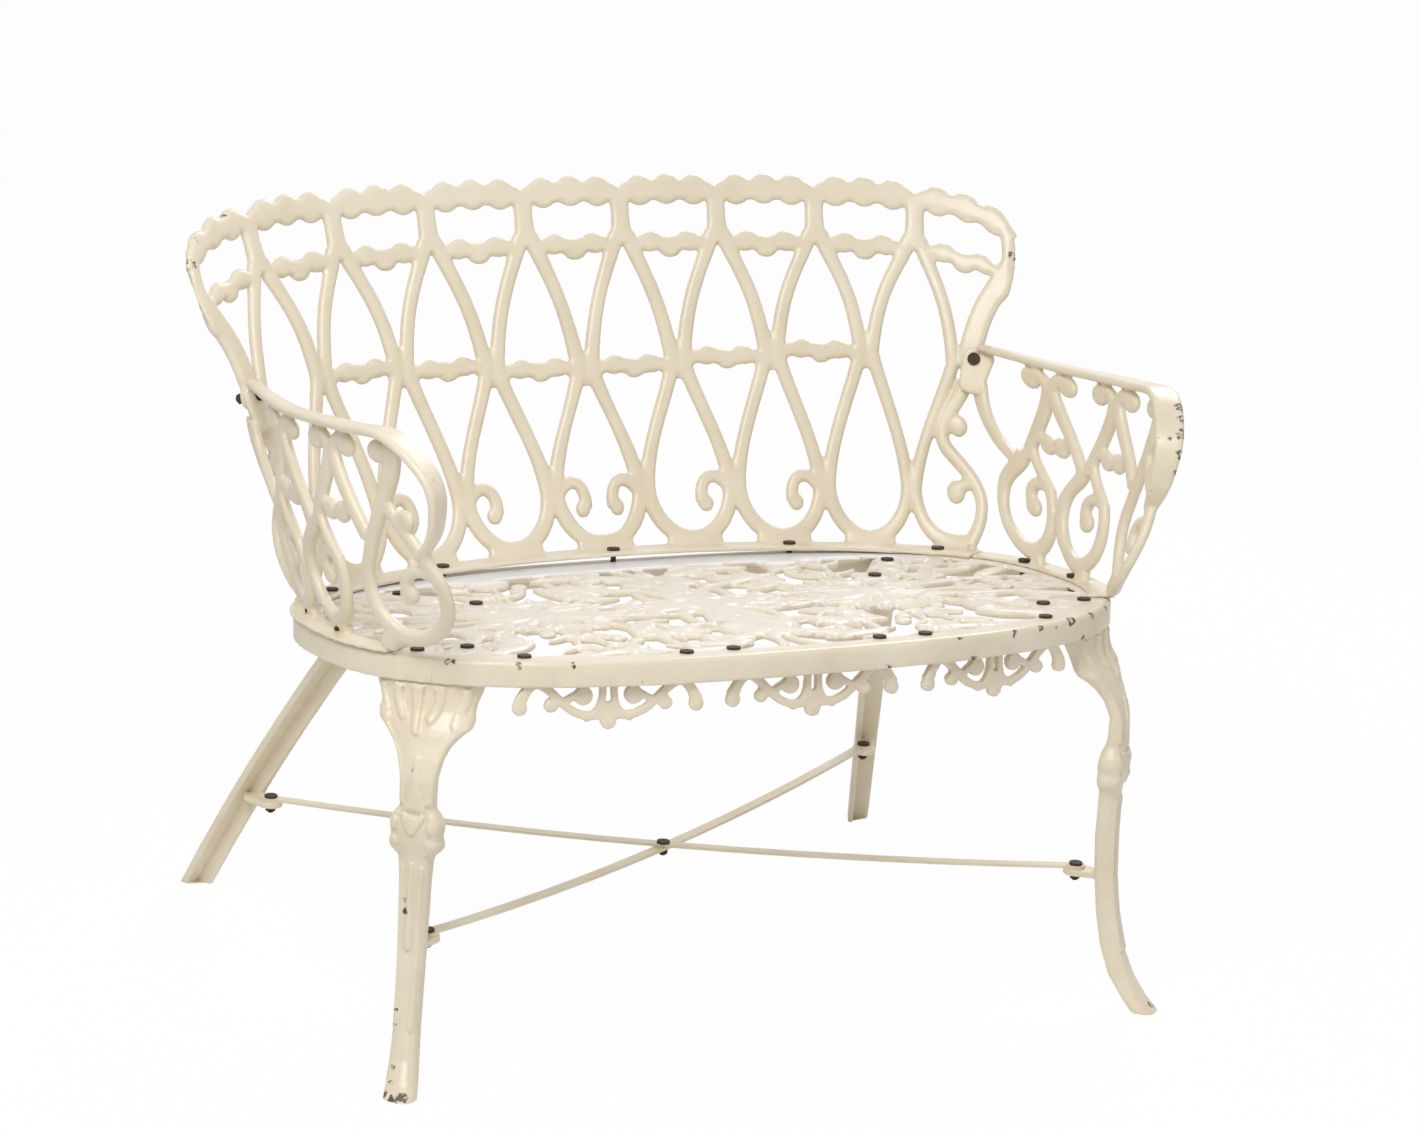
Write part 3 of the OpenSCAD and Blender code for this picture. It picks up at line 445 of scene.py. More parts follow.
def toneRamp(tree, at, factor, stops):
    ramp = shaderNode(tree, "ValToRGB", at, {"Fac": factor})
    for k, (position, colour) in enumerate(stops):
        stop = ramp.color_ramp.elements[k] if k < 2 else ramp.color_ramp.elements.new(position)
        stop.position = position
        stop.color = colour
    return ramp.outputs["Color"]


def mixOver(tree, at, factor, under, over):
    return shaderNode(tree, "Mix", at, {0: factor, 6: under, 7: over}, data_type="RGBA").outputs[2]


def mathOf(tree, at, operation, a, b):
    return shaderNode(tree, "Math", at, {0: a, 1: b}, operation=operation).outputs[0]


def bumpOf(tree, at, height, look):
    inputs = {"Height": height, "Strength": look["bump"], "Distance": look["bumpDepth"]}
    return shaderNode(tree, "Bump", at, inputs).outputs["Normal"]


def paintMaterial():
    look = paintLook
    material, tree, shader = newMaterial("creamPaint")
    coords = shaderNode(tree, "TexCoord", (-1500, 0))
    cloud = noiseOn(tree, coords, (-1200, 250), look["clouds"])
    grain = noiseOn(tree, coords, (-1200, -250), look["grain"])
    lumps = noiseOn(tree, coords, (-1200, -500), look["lumps"])
    fleck = noiseOn(tree, coords, (-1200, 850), look["flecks"])
    # the pale attribute carries painted highlight and the hollow attribute painted shade; wear marks real
    # chips
    wear, pale, hollow = (
        shaderNode(tree, "Attribute", at, attribute_name=name).outputs["Fac"]
        for name, at in (("wear", (-1200, 600)), ("pale", (-700, 0)), ("hollow", (-600, 120))))
    tone = toneRamp(tree, (-950, 250), cloud, (
        (look["wornBelow"], look["worn"]), (look["paleAbove"], look["pale"]), (0.5, look["base"])))
    colour = mixOver(tree, (-650, 300), look["cloudShare"], look["base"], tone)
    # painted highlight: the pale attribute lifts the colour towards near white on the lit tops
    colour = mixOver(tree, (-500, 300), pale, colour, look["highlightWhite"])
    # painted shade: the hollow attribute darkens the inner corners to tan
    colour = mixOver(tree, (-350, 300), hollow, colour, look["hollowShade"])
    # chips: the wear attribute says where, fine noise breaks up their edges
    bare = shaderNode(tree, "MapRange", (-700, 700), {
        "Value": mathOf(tree, (-900, 700), "ADD", wear, fleck),
        "From Min": look["chipFrom"], "From Max": look["chipFull"]}).outputs[0]
    rough = shaderNode(tree, "MapRange", (-350, -50), {
        "Value": grain, "To Min": look["smoothest"], "To Max": look["roughest"]})
    height = mathOf(tree, (-900, -400), "ADD", grain, lumps)
    height = mathOf(tree, (-650, -400), "SUBTRACT", height, bare)
    setInputs(tree, shader, {
        "Base Color": mixOver(tree, (-200, 300), bare, colour, look["chip"]), "Roughness": rough.outputs[0],
        "Normal": bumpOf(tree, (-350, -350), height, look)})
    return material


def rustMaterial():
    look = rustLook
    material, tree, shader = newMaterial("rustyBolts")
    coords = shaderNode(tree, "TexCoord", (-1000, 0))
    mottle = noiseOn(tree, coords, (-800, 0), look["mottle"])
    tone = toneRamp(tree, (-550, 0), mottle, (
        (look["darkBelow"], look["dark"]), (look["lightAbove"], look["light"])))
    setInputs(tree, shader, {
        "Base Color": tone, "Roughness": look["roughness"], "Metallic": look["metallic"],
        "Normal": bumpOf(tree, (-300, -250), mottle, look)})
    return material


paint = paintMaterial()
rust = rustMaterial()


def finishPiece(obj, material, slot, *replaced):
    obj.data.materials.clear()
    obj.data.materials.append(material)
    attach(obj, "root")
    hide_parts(*replaced)


def storeAttribute(obj, name, values):
    layer = obj.data.attributes.new(name, "FLOAT", "POINT")
    layer.data.foreach_set("value", np.ascontiguousarray(values, np.float32))


def markHollows(obj):
    # 0 on open faces, up to 1 in the inner corners, where the colour is darkened as painted shade
    mesh = obj.data
    co = meshCoords(mesh) / mm
    edges = np.empty(len(mesh.edges) * 2, np.int32)
    mesh.edges.foreach_get("vertices", edges)
    a, b = edges.reshape(-1, 2).T
    normals = np.empty(len(co) * 3)
    mesh.vertices.foreach_get("normal", normals)
    count = np.maximum(np.bincount(a, minlength=len(co)) + np.bincount(b, minlength=len(co)), 1)

    def around(values):
        return (np.bincount(a, values[b], len(co)) + np.bincount(b, values[a], len(co))) / count

    middle = np.stack([around(co[:, k]) for k in range(3)], 1)
    step = around(np.ones(len(co))) * np.mean(np.linalg.norm(co[a] - co[b], axis=1))
    hollow = np.sum((middle - co) * normals.reshape(-1, 3), 1) / step ** 2
    for _ in range(paintLook["hollowRounds"]):
        hollow = (hollow + around(hollow)) / 2
    storeAttribute(obj, "hollow", np.clip((hollow - paintLook["hollowFrom"]) / paintLook["hollowSpan"], 0, 1))


def wearOn(obj, spots, flip=1):
    # each spot is (world point in millimetres, radius, strength) and fades out past its radius
    co = meshCoords(obj.data) / mm
    value = np.zeros(len(co))
    for point, radius, strength in spots:
        reach = np.linalg.norm(co - point * [flip, 1, 1], axis=1) / radius
        value = np.maximum(value, strength * np.clip(1.6 - 0.9 * reach, 0, 1))
    storeAttribute(obj, "wear", value)


# The back

backLook = {
    "scale": (108.0, 1), "step": (0.02, 2.0), "grow": 2.0, "halfThick": 5.8, "lobeThick": 6.4, "member": 15.0,
    "voxel": 2.0, "softRounds": 4, "keep": 0.52,
    "crestV": 377, "apexV": 331, "barV": 318, "waistV": 188, "waistLift": 17, "notchV": 63, "bowlV": 60,
    "boltU": (-3.9, -2, 0, 2, 3.9), "boltInset": 17.0,
    "padRadius": 9.5, "padTop": 8.5, "padHeight": 5.3, "padLift": 0.5,
    # flecks: u, v, size, strength
    "wear": [
        (-4.46, 372, 9, 0.72), (-4.3, 384, 7, 0.74), (-4.05, 386, 6, 0.74), (-3.8, 388, 6, 0.72),
        (-4.42, 350, 6, 0.7), (-2.2, 388, 5, 0.72), (-1.9, 386, 6, 0.72), (-1.0, 384, 4, 0.74),
        (4.5, 350, 10, 0.68), (4.44, 330, 8, 0.68), (-1.42, 190, 3, 0.85), (-0.36, 203, 3, 0.9),
        (0.9, 176, 3, 0.85), (3.55, 8, 6, 0.7)],
}


def waistAt(u):
    return backLook["waistV"] + backLook["waistLift"] * math.sin(math.radians(30 * u)) ** 2


def backPattern():
    strands, lobes, strand, lobe = sheetDrawing(backLook)
    m = backLook["member"]
    crest, bar, notch, apex, bowl = (backLook[k] for k in ("crestV", "barV", "notchV", "apexV", "bowlV"))
    for c in range(-4, 5):
        # crest bar with three swelling humps, then the two-humped bar under it
        strand(c, 1, evenLine((0.5, crest - 6), (0.4, crest - 1), (0.2, crest), (0, crest + 0.5)),
               [15, 20, 21, 21, 21, 20, 15])
        for k in (-1, 0, 1):
            lobe(c + 0.28 * k, crest + 1 - abs(k), 16.5, 16.8, 8.4, 20)
        strand(c, 1, evenLine((0.43, bar - 8), (0.3, bar + 3), (0.12, bar + 2), (0, bar - 1)),
               [11, 13, 15, 17, 15, 13, 11])
        for k in (-1, 1):
            lobe(c + 0.2 * k, bar + 3.5, 14, 11, 7.8, 14 * k)
        lobe(c, bar - 4.5, 12.5, 9.5, 7.4)
        # both sides of the lens-shaped cell; the outermost two stop at the waist
        waist = waistAt(c)
        for s in (-1, 1):
            strand(c, s, [(0.45, apex), (0.32, apex - 40), (0.14, waist + 74), (0.06, waist)],
                   [m + 1, m - 1, m - 1, m])
            if abs(c + s) < halfCells:
                strand(c, s, [(0.06, waist), (0.15, waist - 40), (0.41, notch + 46), (0.455, bowl)],
                       [m, m - 1, m - 1, m + 1])
    for c in range(-3, 4):
        # bowls that stand on the flange, and the waist node over each
        turns = np.radians(np.linspace(0, 180, 19))
        strand(c, 1, zip(-0.455 * np.cos(turns), bowl - 55 * np.sin(turns)), [m + 1, m + 1, m, m + 1, m + 1])
        lobe(c, waistAt(c), 12, 19, 5.6)
        strand(c, 1, evenLine((0.3, 3), (0.1, 2)), [8, 15, 15, 8])
    for k in range(8):
        # posts under the crest, and nodes between the bowls
        b = k - 3.5
        strand(b, 1, [(0, crest), (0, crest - 12), (0, apex + 20), (0, apex - 10)], [24, 19, 18, 19, 25])
        lobe(b, notch - 9, 11, 19, 5.6)
    for k in range(6):
        # waist bar with its humps
        b = k - 2.5
        waist = waistAt(b)
        line = ((-0.44, -5), (-0.3, 1), (-0.1, 1), (0.1, -1), (0.3, 1), (0.44, -5))
        strand(b, 1, [(u, waist + up) for u, up in line], [12, 13, 15, 15, 13, 12])
        lobe(b - 0.18, waist + 2, 13.5, 10.2, 7.8, -16)
        lobe(b + 0.2, waist + 2, 13.5, 10.2, 7.8, 12)
        lobe(b + 0.03, waist - 4, 12, 9, 7.2, -10)
    for s, centres in ((-1, (-2, -1, 0)), (1, (0, 1, 2))):
        # curls inside the bowls
        for c in centres:
            strand(c, s, [(0.44, 56), (0.33, 77), (0.1, 74), (0.13, 42)], [13, 12, 12, 13])
            lobe(c + 0.17 * s, 41, 9.2, thick=6.6)
    # the ends, with the arm's joint
    outer = np.concatenate([
        bezier([[4.36, crest - 3], [4.5, crest - 4], [4.52, 310], [4.36, 290]]),
        bezier([[4.36, 290], [4.24, 262], [4.2, 230], [4.14, 196]], 10)[1:],
        bezier([[4.14, 196], [4.08, 160], [3.72, 130], [3.9, 108]])[1:],
        bezier([[3.9, 108], [4.1, 86], [4.7, 62], [4.3, 4]], 14)[1:],
    ])
    for s in (-1, 1):
        strand(0, s, outer, [17, 16, 16, 17, 16, 16, 18])
        lobe(4.04 * s, 133, 12.5, thick=7)
        lobe(4.06 * s, bowl, 13.5, thick=7)
        strand(0, s, [(4.33, 70), (4.25, 74), (4.15, 70), (4.06, 62)], [13, 13])
        strand(0, s, [(3.545, bowl), (3.6, 14), (3.85, 3), (4.28, 5)], [m, m + 3])
        lobe(bench["jointU"] * s, jointV, 13.5, thick=7)
    return strands, lobes


def makeBack():
    look, seam = backLook, bench["seamRun"]
    openwork = bentOpenwork(backPattern(), backAt, look)
    flange = rimStrip(-seam, seam, 60, -bench["flangeOut"], bench["flangeIn"], 0, bench["flangeThick"],
                      lambda run: bow(run / seam * halfCells))
    places = [(*rimAt(baseRun(u), look["boltInset"]), bow(u) + look["padLift"]) for u in look["boltU"]]
    obj = castSolid("backCasting", [openwork, flange, padMesh(places, look)], look)
    finishPiece(obj, paint, "paint", "back_panel")
    wearOn(obj, [(seatPlace(backAt(np.array([u]), np.array([v])))[0] / mm, size, strength)
                 for u, v, size, strength in look["wear"]])


makeBack()
print("back done")

# The arms

armLook = {
    "scale": (97.0, 215.0), "step": (0.02, 0.01), "grow": 1.8, "halfThick": 5.6, "lobeThick": 7.0,
    "member": 14.0, "voxel": 1.9, "softRounds": 4, "keep": 0.8,
    "flangeStart": 0.4, "flangeShort": 6, "flangeOut": 4, "flangeIn": 25, "flangeThick": 4,
    "lap": [(0, 0, 14), (14, 4, 8), (8, -27, 11), (-2, -30, 7)], "lapThick": 7, "lapGap": 1,
    # flecks on the roll, on the right arm alone and on both: knots along the rail, sideways, size, strength
    "wearRight": [(3.35, 12, 9, 0.74), (3.6, 13, 8, 0.72), (3.9, 13, 10, 0.71), (4.3, 12, 8, 0.74),
                  (4.7, 11, 6, 0.74)],
    "wearBoth": [(3.5, -9, 5, 0.72), (4.0, -10, 5, 0.72), (4.0, 2, 7, 0.66), (5.2, -6, 5, 0.68)],
    "sideways": (0.8, -0.5, 0),
}


def armPattern():
    strands, lobes, strand, lobe = sheetDrawing(armLook)
    m = armLook["member"]
    for k in (1, 2):
        # arches that hang from the rail
        for s in (-1, 1):
            strand(k, s, [(0.03, 0.88), (0.1, 0.76), (0.28, 0.66), (0.45, 0.52)], [m, m - 1])
            strand(k, s, [(0.02, 0.86), (0.04, 0.95), (0.16, 0.98), (0.26, 0.94)], [12, 12])
            lobe(k + 0.25 * s, 0.93, 12)
            lobe(k + 0.1 * s, 0.61, 11.5)
            strand(k, s, [(0.1, 0.62), (0.18, 0.64), (0.22, 0.64), (0.27, 0.62)], [10, 10])
    for c in (0.5, 1.5):
        # lyres that stand on the flange
        strand(c, 1, [(0, 0.54), (-0.06, 0.44), (-0.36, 0.44), (-0.4, 0.28)], [m + 3, m - 1])
        strand(c, 1, [(-0.4, 0.29), (-0.44, 0.18), (-0.3, 0.075), (0, 0.055)], [m - 1, m + 3])
        strand(c, 1, [(0, 0.055), (0.3, 0.07), (0.44, 0.17), (0.42, 0.29)], [m + 3, m - 1])
        strand(c, 1, [(0.42, 0.37), (0.24, 0.43), (0.02, 0.4), (0.06, 0.3)], [11, 13])
        lobe(c + 0.09, 0.28, 11.5)
        strand(c, 1, [(0.14, 0.61), (0.12, 0.52), (0.24, 0.46), (0.36, 0.39)], [10, 12])
        strand(c, 1, [(0.36, 0.39), (0.4, 0.37), (0.42, 0.33), (0.42, 0.28)], [12, m - 1])
        strand(c, 1, [(0.12, 0.07), (0.13, 0.05), (0.13, 0.03), (0.13, 0.005)], [18, 22])
    # the front unit, open at its top
    c = 2.7
    strand(c, 1, [(0.16, 0.98), (0.14, 0.8), (-0.1, 0.62), (-0.26, 0.42)], [m + 3, m, m - 1])
    strand(c, 1, [(-0.26, 0.42), (-0.42, 0.26), (-0.22, 0.09), (0.14, 0.07)], [m - 1, m, m + 2])
    strand(c, 1, [(0.14, 0.07), (0.5, 0.07), (0.72, 0.2), (0.6, 0.36)], [m + 2, m, m - 1])
    strand(c, 1, [(0.6, 0.36), (0.54, 0.42), (0.45, 0.46), (0.42, 0.52)], [m - 1, m + 1])
    strand(c, 1, [(0.02, 0.71), (0.1, 0.62), (0.28, 0.6), (0.44, 0.47)], [m - 2, m - 2])
    strand(c, 1, [(0.57, 0.38), (0.4, 0.44), (0.14, 0.41), (0.18, 0.3)], [10, 13])
    strand(0, 1, [(2.72, 0.11), (2.66, 0.08), (2.56, 0.05), (2.52, 0.01)], [24, 20, 20])
    lobe(c + 0.2, 0.285, 11)
    lobe(c + 0.25, 0.64, 12)
    lobe(c - 0.02, 0.93, 11.5)
    # the first strand, from the back's end
    strand(0, 1, [(0.01, 0.84), (-0.06, 0.7), (0.06, 0.56), (0.4, 0.48)], [18, m - 2])
    return strands, lobes


def railMesh():
    last = len(railKnots) - 1
    stretch = 100.0
    ts = np.linspace(0.02, last - 0.02, 90)
    width = np.interp(ts, range(last + 1), railLook["widths"]) * bench["railWidth"]
    mesh = strandMesh([(np.column_stack([ts * stretch, ts * 0]), width)], 6)
    co = meshCoords(mesh)
    t = co[:, 0] / stretch
    along = unitRows(railAt(t + 0.02) - railAt(t - 0.02))
    turn = np.radians(np.interp(t, range(last + 1), railLook["turns"]))
    wide = np.stack([np.cos(turn), -np.sin(turn), turn * 0], 1)
    wide = unitRows(wide - along * np.sum(along * wide, 1, keepdims=True))
    up = unitRows(np.cross(wide, along))
    rise = softLimit(co[:, 2] * railLook["dome"], bench["railThick"] / 2 + railLook["spareThick"])
    setMeshCoords(mesh, seatPlace(railAt(t) - wide * co[:, 1:2] - up * rise[:, None]))
    return mesh


def lapPlace(co):
    # flat on the front of the back, at the joint
    u, v = np.full(len(co), bench["jointU"]), np.full(len(co), jointV)
    across = unitRows(backAt(u + 0.02, v) - backAt(u - 0.02, v))
    face = unitRows(np.cross(across, backAt(u, v + 2) - backAt(u, v - 2)))
    centre = backAt(u, v) + face * (bench["casting"] / 2 + armLook["lapGap"] + armLook["lapThick"] / 2)
    return seatPlace(centre + across * co[:, :1] + np.cross(face, across) * co[:, 1:2] + face * co[:, 2:3])


def makeArm():
    look, seam = armLook, bench["seamRun"]
    openwork = bentOpenwork(armPattern(), armAt, look)
    flange = rimStrip(seam + look["flangeStart"], seam + bench["armLength"] - look["flangeShort"], 24,
                      -look["flangeOut"], look["flangeIn"], 0, look["flangeThick"])
    lap = convexMesh(look["lap"], look["lapThick"], lapPlace)
    return castSolid("rightArmCasting", [openwork, railMesh(), flange, lap], look)


rightArm = makeArm()
leftArm = mirroredCopy(rightArm, "leftArmCasting")
finishPiece(rightArm, paint, "paint", "right_arm")
finishPiece(leftArm, paint, "paint", "left_arm")


def railSpot(t, wide):
    return seatPlace(railAt(np.array([t])) + np.multiply(wide, armLook["sideways"]))[0] / mm


for arm, flip, flecks in ((rightArm, 1, armLook["wearRight"]), (leftArm, -1, [])):
    wearOn(arm, [(railSpot(*place), size, strength)
                 for *place, size, strength in flecks + armLook["wearBoth"]], flip)
print("arms done")

# The seat

seatLook = {
    "hub": 190, "leafThick": 7.0, "leafDepth": -5.4, "leafFlat": 0.6, "leafShare": 0.8,
    "ribThick": 2.4, "ribDepth": -1.4, "ribFlat": 0.5, "ribWidths": (6.5, 3),
    "knobThick": 5.0, "knobDepth": -3.0, "knobFlat": 0.9, "knobHalf": 6.2,
    "voxel": 1.8, "softRounds": 1, "keep": 0.32, "inside": 24,
    # the rim's section: inset, height
    "rim": [(0, -26), (0, -4), (1.2, -1.2), (4, 0), (27, 0), (30, -2), (30, -5), (6, -5), (6, -26)],
    # steps inside the rim at the back: half run, inset
    "ledges": [(360, 38), (290, 48), (200, 56)], "ledgeTop": -0.6, "ledgeBottom": -5, "ledgeOuter": 22,
    "pads": [(375, -204), (324, -208), (286, 72), (231, -5)], "padRadius": 16, "padTop": 15, "padHeight": 5.2,
    # painted highlight: its share on the panel's tops and on the back ledge, and where it applies
    "panelHighlight": 0.45, "ledgeHighlight": 0.7, "paleReach": 0.93, "paleFrom": -3,
    "ledgeFrom": 150, "ledgeFade": 20, "ledgeReach": 0.42, "ledgeSpan": 0.08,
    # flecks on the rim: angle, drop, size, strength
    "wear": [
        (262, 2, 8, 0.74), (255, 3, 6, 0.74), (246, 2, 9, 0.72), (238, 3, 5, 0.74), (229, 2, 7, 0.74),
        (221, 2, 9, 0.74), (216, 9, 6, 0.74), (212, 3, 6, 0.74), (208, 12, 6, 0.74), (206, 4, 5, 0.74),
        (203, 14, 8, 0.72), (198, 22, 9, 0.72), (196, 2, 5, 0.74), (191, 13, 4, 0.74), (186, 22, 6, 0.72),
        (225, 22, 6, 0.7), (171, 18, 4, 0.74), (160, 20, 5, 0.72), (150, 3, 5, 0.72), (141, 3, 6, 0.72),
        (128, 3, 8, 0.7)],
}


def rimRing():
    # spun as a round ring, then drawn out to the seat's outline
    radius = 100
    bm = bmesh.new()
    corners = [bm.verts.new((radius - inset, 0, z)) for inset, z in seatLook["rim"]]
    edges = [bm.edges.new((a, b)) for a, b in zip(corners, corners[1:] + corners[:1])]
    bmesh.ops.spin(bm, geom=corners + edges, cent=(0, 0, 0), axis=(0, 0, 1), angle=math.tau, steps=240,
                   use_merge=True)
    bmesh.ops.recalc_face_normals(bm, faces=bm.faces)
    mesh = toMesh(bm, "rim")
    co = meshCoords(mesh)
    inset = np.round(radius - np.hypot(co[:, 0], co[:, 1]), 1)
    xy = outlineAt(np.degrees(np.arctan2(co[:, 0], co[:, 1])), inset)
    setMeshCoords(mesh, seatPlace(np.column_stack([xy, co[:, 2]])))
    return mesh


def leafPath(x, y, angle, length, bend=0.0):
    k = np.linspace(0, 1, 13)
    a = math.radians(angle)
    side = bend * length * np.sin(np.pi * k / 1.4)
    return np.column_stack([x + math.cos(a) * length * k - math.sin(a) * side,
                            y + math.sin(a) * length * k + math.cos(a) * side])


def leafWidths(width):
    return width * seatLook["leafShare"] * np.sin(np.pi * np.linspace(0.06, 1, 13) ** 0.8) + 3.0


def seatQuarter():
    # x and y from the seat's middle; the hub stands on the long axis
    hub = seatLook["hub"]
    leaves, stems = [], []
    for k, a in enumerate(range(8, 173, 23)):
        # a stem with paired leaflets, closing in a single leaf
        stem = leafPath(hub, 0, a, 205, 0.07 if k % 2 else -0.07)
        stems.append((stem, np.linspace(12, 8, len(stem))))
        for step in (3, 6, 9, 11):
            for side in (-1, 1):
                leaves.append((leafPath(*stem[step], a + side * (50 - 2 * step), 46 - step, 0.12 * side), 11))
        leaves.append((leafPath(*stem[11], a, 46), 17))
    for a, length in ((-20, 60), (20, 95), (45, 80), (70, 70), (110, 70), (135, 80), (160, 95)):
        leaves.append((leafPath(hub, 6, a, length), 15))
    # single leaves: x, y, angle, length, width, bend
    single = [(6, 60, 74, 120, 30, 0.08), (10, 120, 130, 70, 24, 0), (20, 150, 25, 78, 26, 0.1),
              (4, 8, 62, 105, 26, 0.1), (0, 0, 20, 110, 28, -0.1), (0, 0, 90, 70, 24, 0),
              (40, 190, -15, 90, 26, 0.1), (60, 96, 20, 90, 26, 0.1), (70, 140, -40, 80, 24, 0.1),
              (90, 60, 60, 90, 26, -0.1), (hub + 90, 34, 62, 90, 26, 0.1),
              (hub + 150, 46, 30, 84, 26, 0.05), (hub + 60, 120, 25, 90, 26, 0.1),
              (hub + 130, 110, 55, 70, 24, 0), (hub + 200, 20, 20, 60, 22, 0),
              (hub + 100, 180, -20, 70, 22, 0), (hub - 40, 180, 15, 80, 24, 0),
              (hub + 20, 205, -10, 80, 24, 0), (hub - 120, 215, -5, 80, 22, 0)]
    leaves += [(leafPath(x, y, a, length, bend), width) for x, y, a, length, width, bend in single]
    # vines between the leaves
    for home, points, widths in ((0, [[0, 0], [40, 12], [70, 60], [28, 118]], [14, 16, 9]),
                                 (0, [[28, 118], [8, 150], [-6, 190], [30, 232]], [9, 13, 10]),
                                 (0, [[0, 20], [60, 50], [110, 20], [hub, 0]], [12, 16]),
                                 (hub, [[-60, 70], [-90, 120], [-60, 170], [-96, 215]], [12, 14, 10]),
                                 (hub, [[58, 62], [92, 100], [84, 150], [130, 180]], [12, 14, 10]),
                                 (hub, [[0, 0], [80, 30], [130, 60], [230, 20]], [14, 18, 10])):
        stems.append(curvedStrand([[home + x, y] for x, y in points], widths))
    # flowers and berries: x, y, radius
    knobs = [(26, 112, 13), (hub - 84, 128, 13), (hub + 78, 112, 13), (hub, 0, 21), (0, 0, 18), (0, 165, 12)]
    knobs += [(x, y, 9) for x, y in (
        (70, 30), (110, 92), (150, 150), (hub + 30, 90), (hub + 110, 60), (60, 200), (hub + 160, 90),
        (hub - 30, 130), (hub + 150, 20))]
    return leaves, stems, knobs


def rimShare(x, y, inset=0):
    # 0 at the seat's middle and 1 at its outline, less an inset
    power = bench["seatPower"]
    return (np.abs(x) / (semiX - inset)) ** power + (np.abs(y) / (semiY - inset)) ** power


def panelMeshes():
    # one quarter drawn four times, cut off at the rim
    look = seatLook
    leaves, stems, knobs = seatQuarter()
    blades, ribs, lumps = [], [], []
    for flip in ((-1, -1), (-1, 1), (1, -1), (1, 1)):
        for path, width in leaves:
            keep = rimShare(*path.T, look["inside"]) < 1
            if keep[:4].all():
                count = len(path) if keep.all() else max(4, int(np.argmin(keep)))
                blades.append((path[:count] * flip, leafWidths(width)[:count]))
                ribs.append((path[:count] * flip, np.linspace(*look["ribWidths"], count)))
        for path, widths in stems:
            keep = rimShare(*path.T, look["inside"]) < 1
            blades.append((path[keep] * flip, widths[keep]))
        lumps += [(x * flip[0], y * flip[1], size, size, look["knobHalf"], 0) for x, y, size in knobs]
    meshes = [strandMesh(blades), strandMesh(ribs, 2), lobeMesh(lumps)]
    for mesh, kind in zip(meshes, ("leaf", "rib", "knob")):
        co = meshCoords(mesh)
        z = look[kind + "Depth"] - softLimit(co[:, 1] * look[kind + "Flat"], look[kind + "Thick"], 2)
        setMeshCoords(mesh, seatPlace(np.column_stack([co[:, 0], co[:, 2] + bench["seatY"], z])))
    return meshes


def makeSeat():
    look = seatLook
    places = [(x * side, y, -look["padHeight"]) for side in (-1, 1) for x, y in look["pads"]]
    ledges = [rimStrip(-reach, reach, 60, look["ledgeOuter"], inset, look["ledgeBottom"], look["ledgeTop"])
              for reach, inset in look["ledges"]]
    obj = castSolid("seatCasting", [*panelMeshes(), *ledges, rimRing(), padMesh(places, look)], look)
    finishPiece(obj, paint, "paint", "seat")
    # painted highlight: the tops of the leaves and the ledge at the back are painted paler than the paint,
    # towards near white, where light falls on them
    x, y, z = meshCoords(obj.data).T / mm
    z = z - bench["seatHeight"]
    y, z = y * math.cos(tilt) - z * math.sin(tilt) - bench["seatY"], y * math.sin(tilt) + z * math.cos(tilt)
    reach = rimShare(x, y)
    ledge = np.clip((y - look["ledgeFrom"]) / look["ledgeFade"], 0, 1)
    ledge = ledge * np.clip((reach - look["ledgeReach"]) / look["ledgeSpan"], 0, 1)
    pale = np.clip(look["panelHighlight"] * (reach < look["paleReach"]) + look["ledgeHighlight"] * ledge, 0, 1)
    storeAttribute(obj, "pale", pale * (z > look["paleFrom"]))
    wearOn(obj, [(seatPlace(np.array([[*outlineAt(-angle), -drop]]))[0] / mm, size, strength)
                 for angle, drop, size, strength in look["wear"]])


makeSeat()
print("seat done")

# The front legs

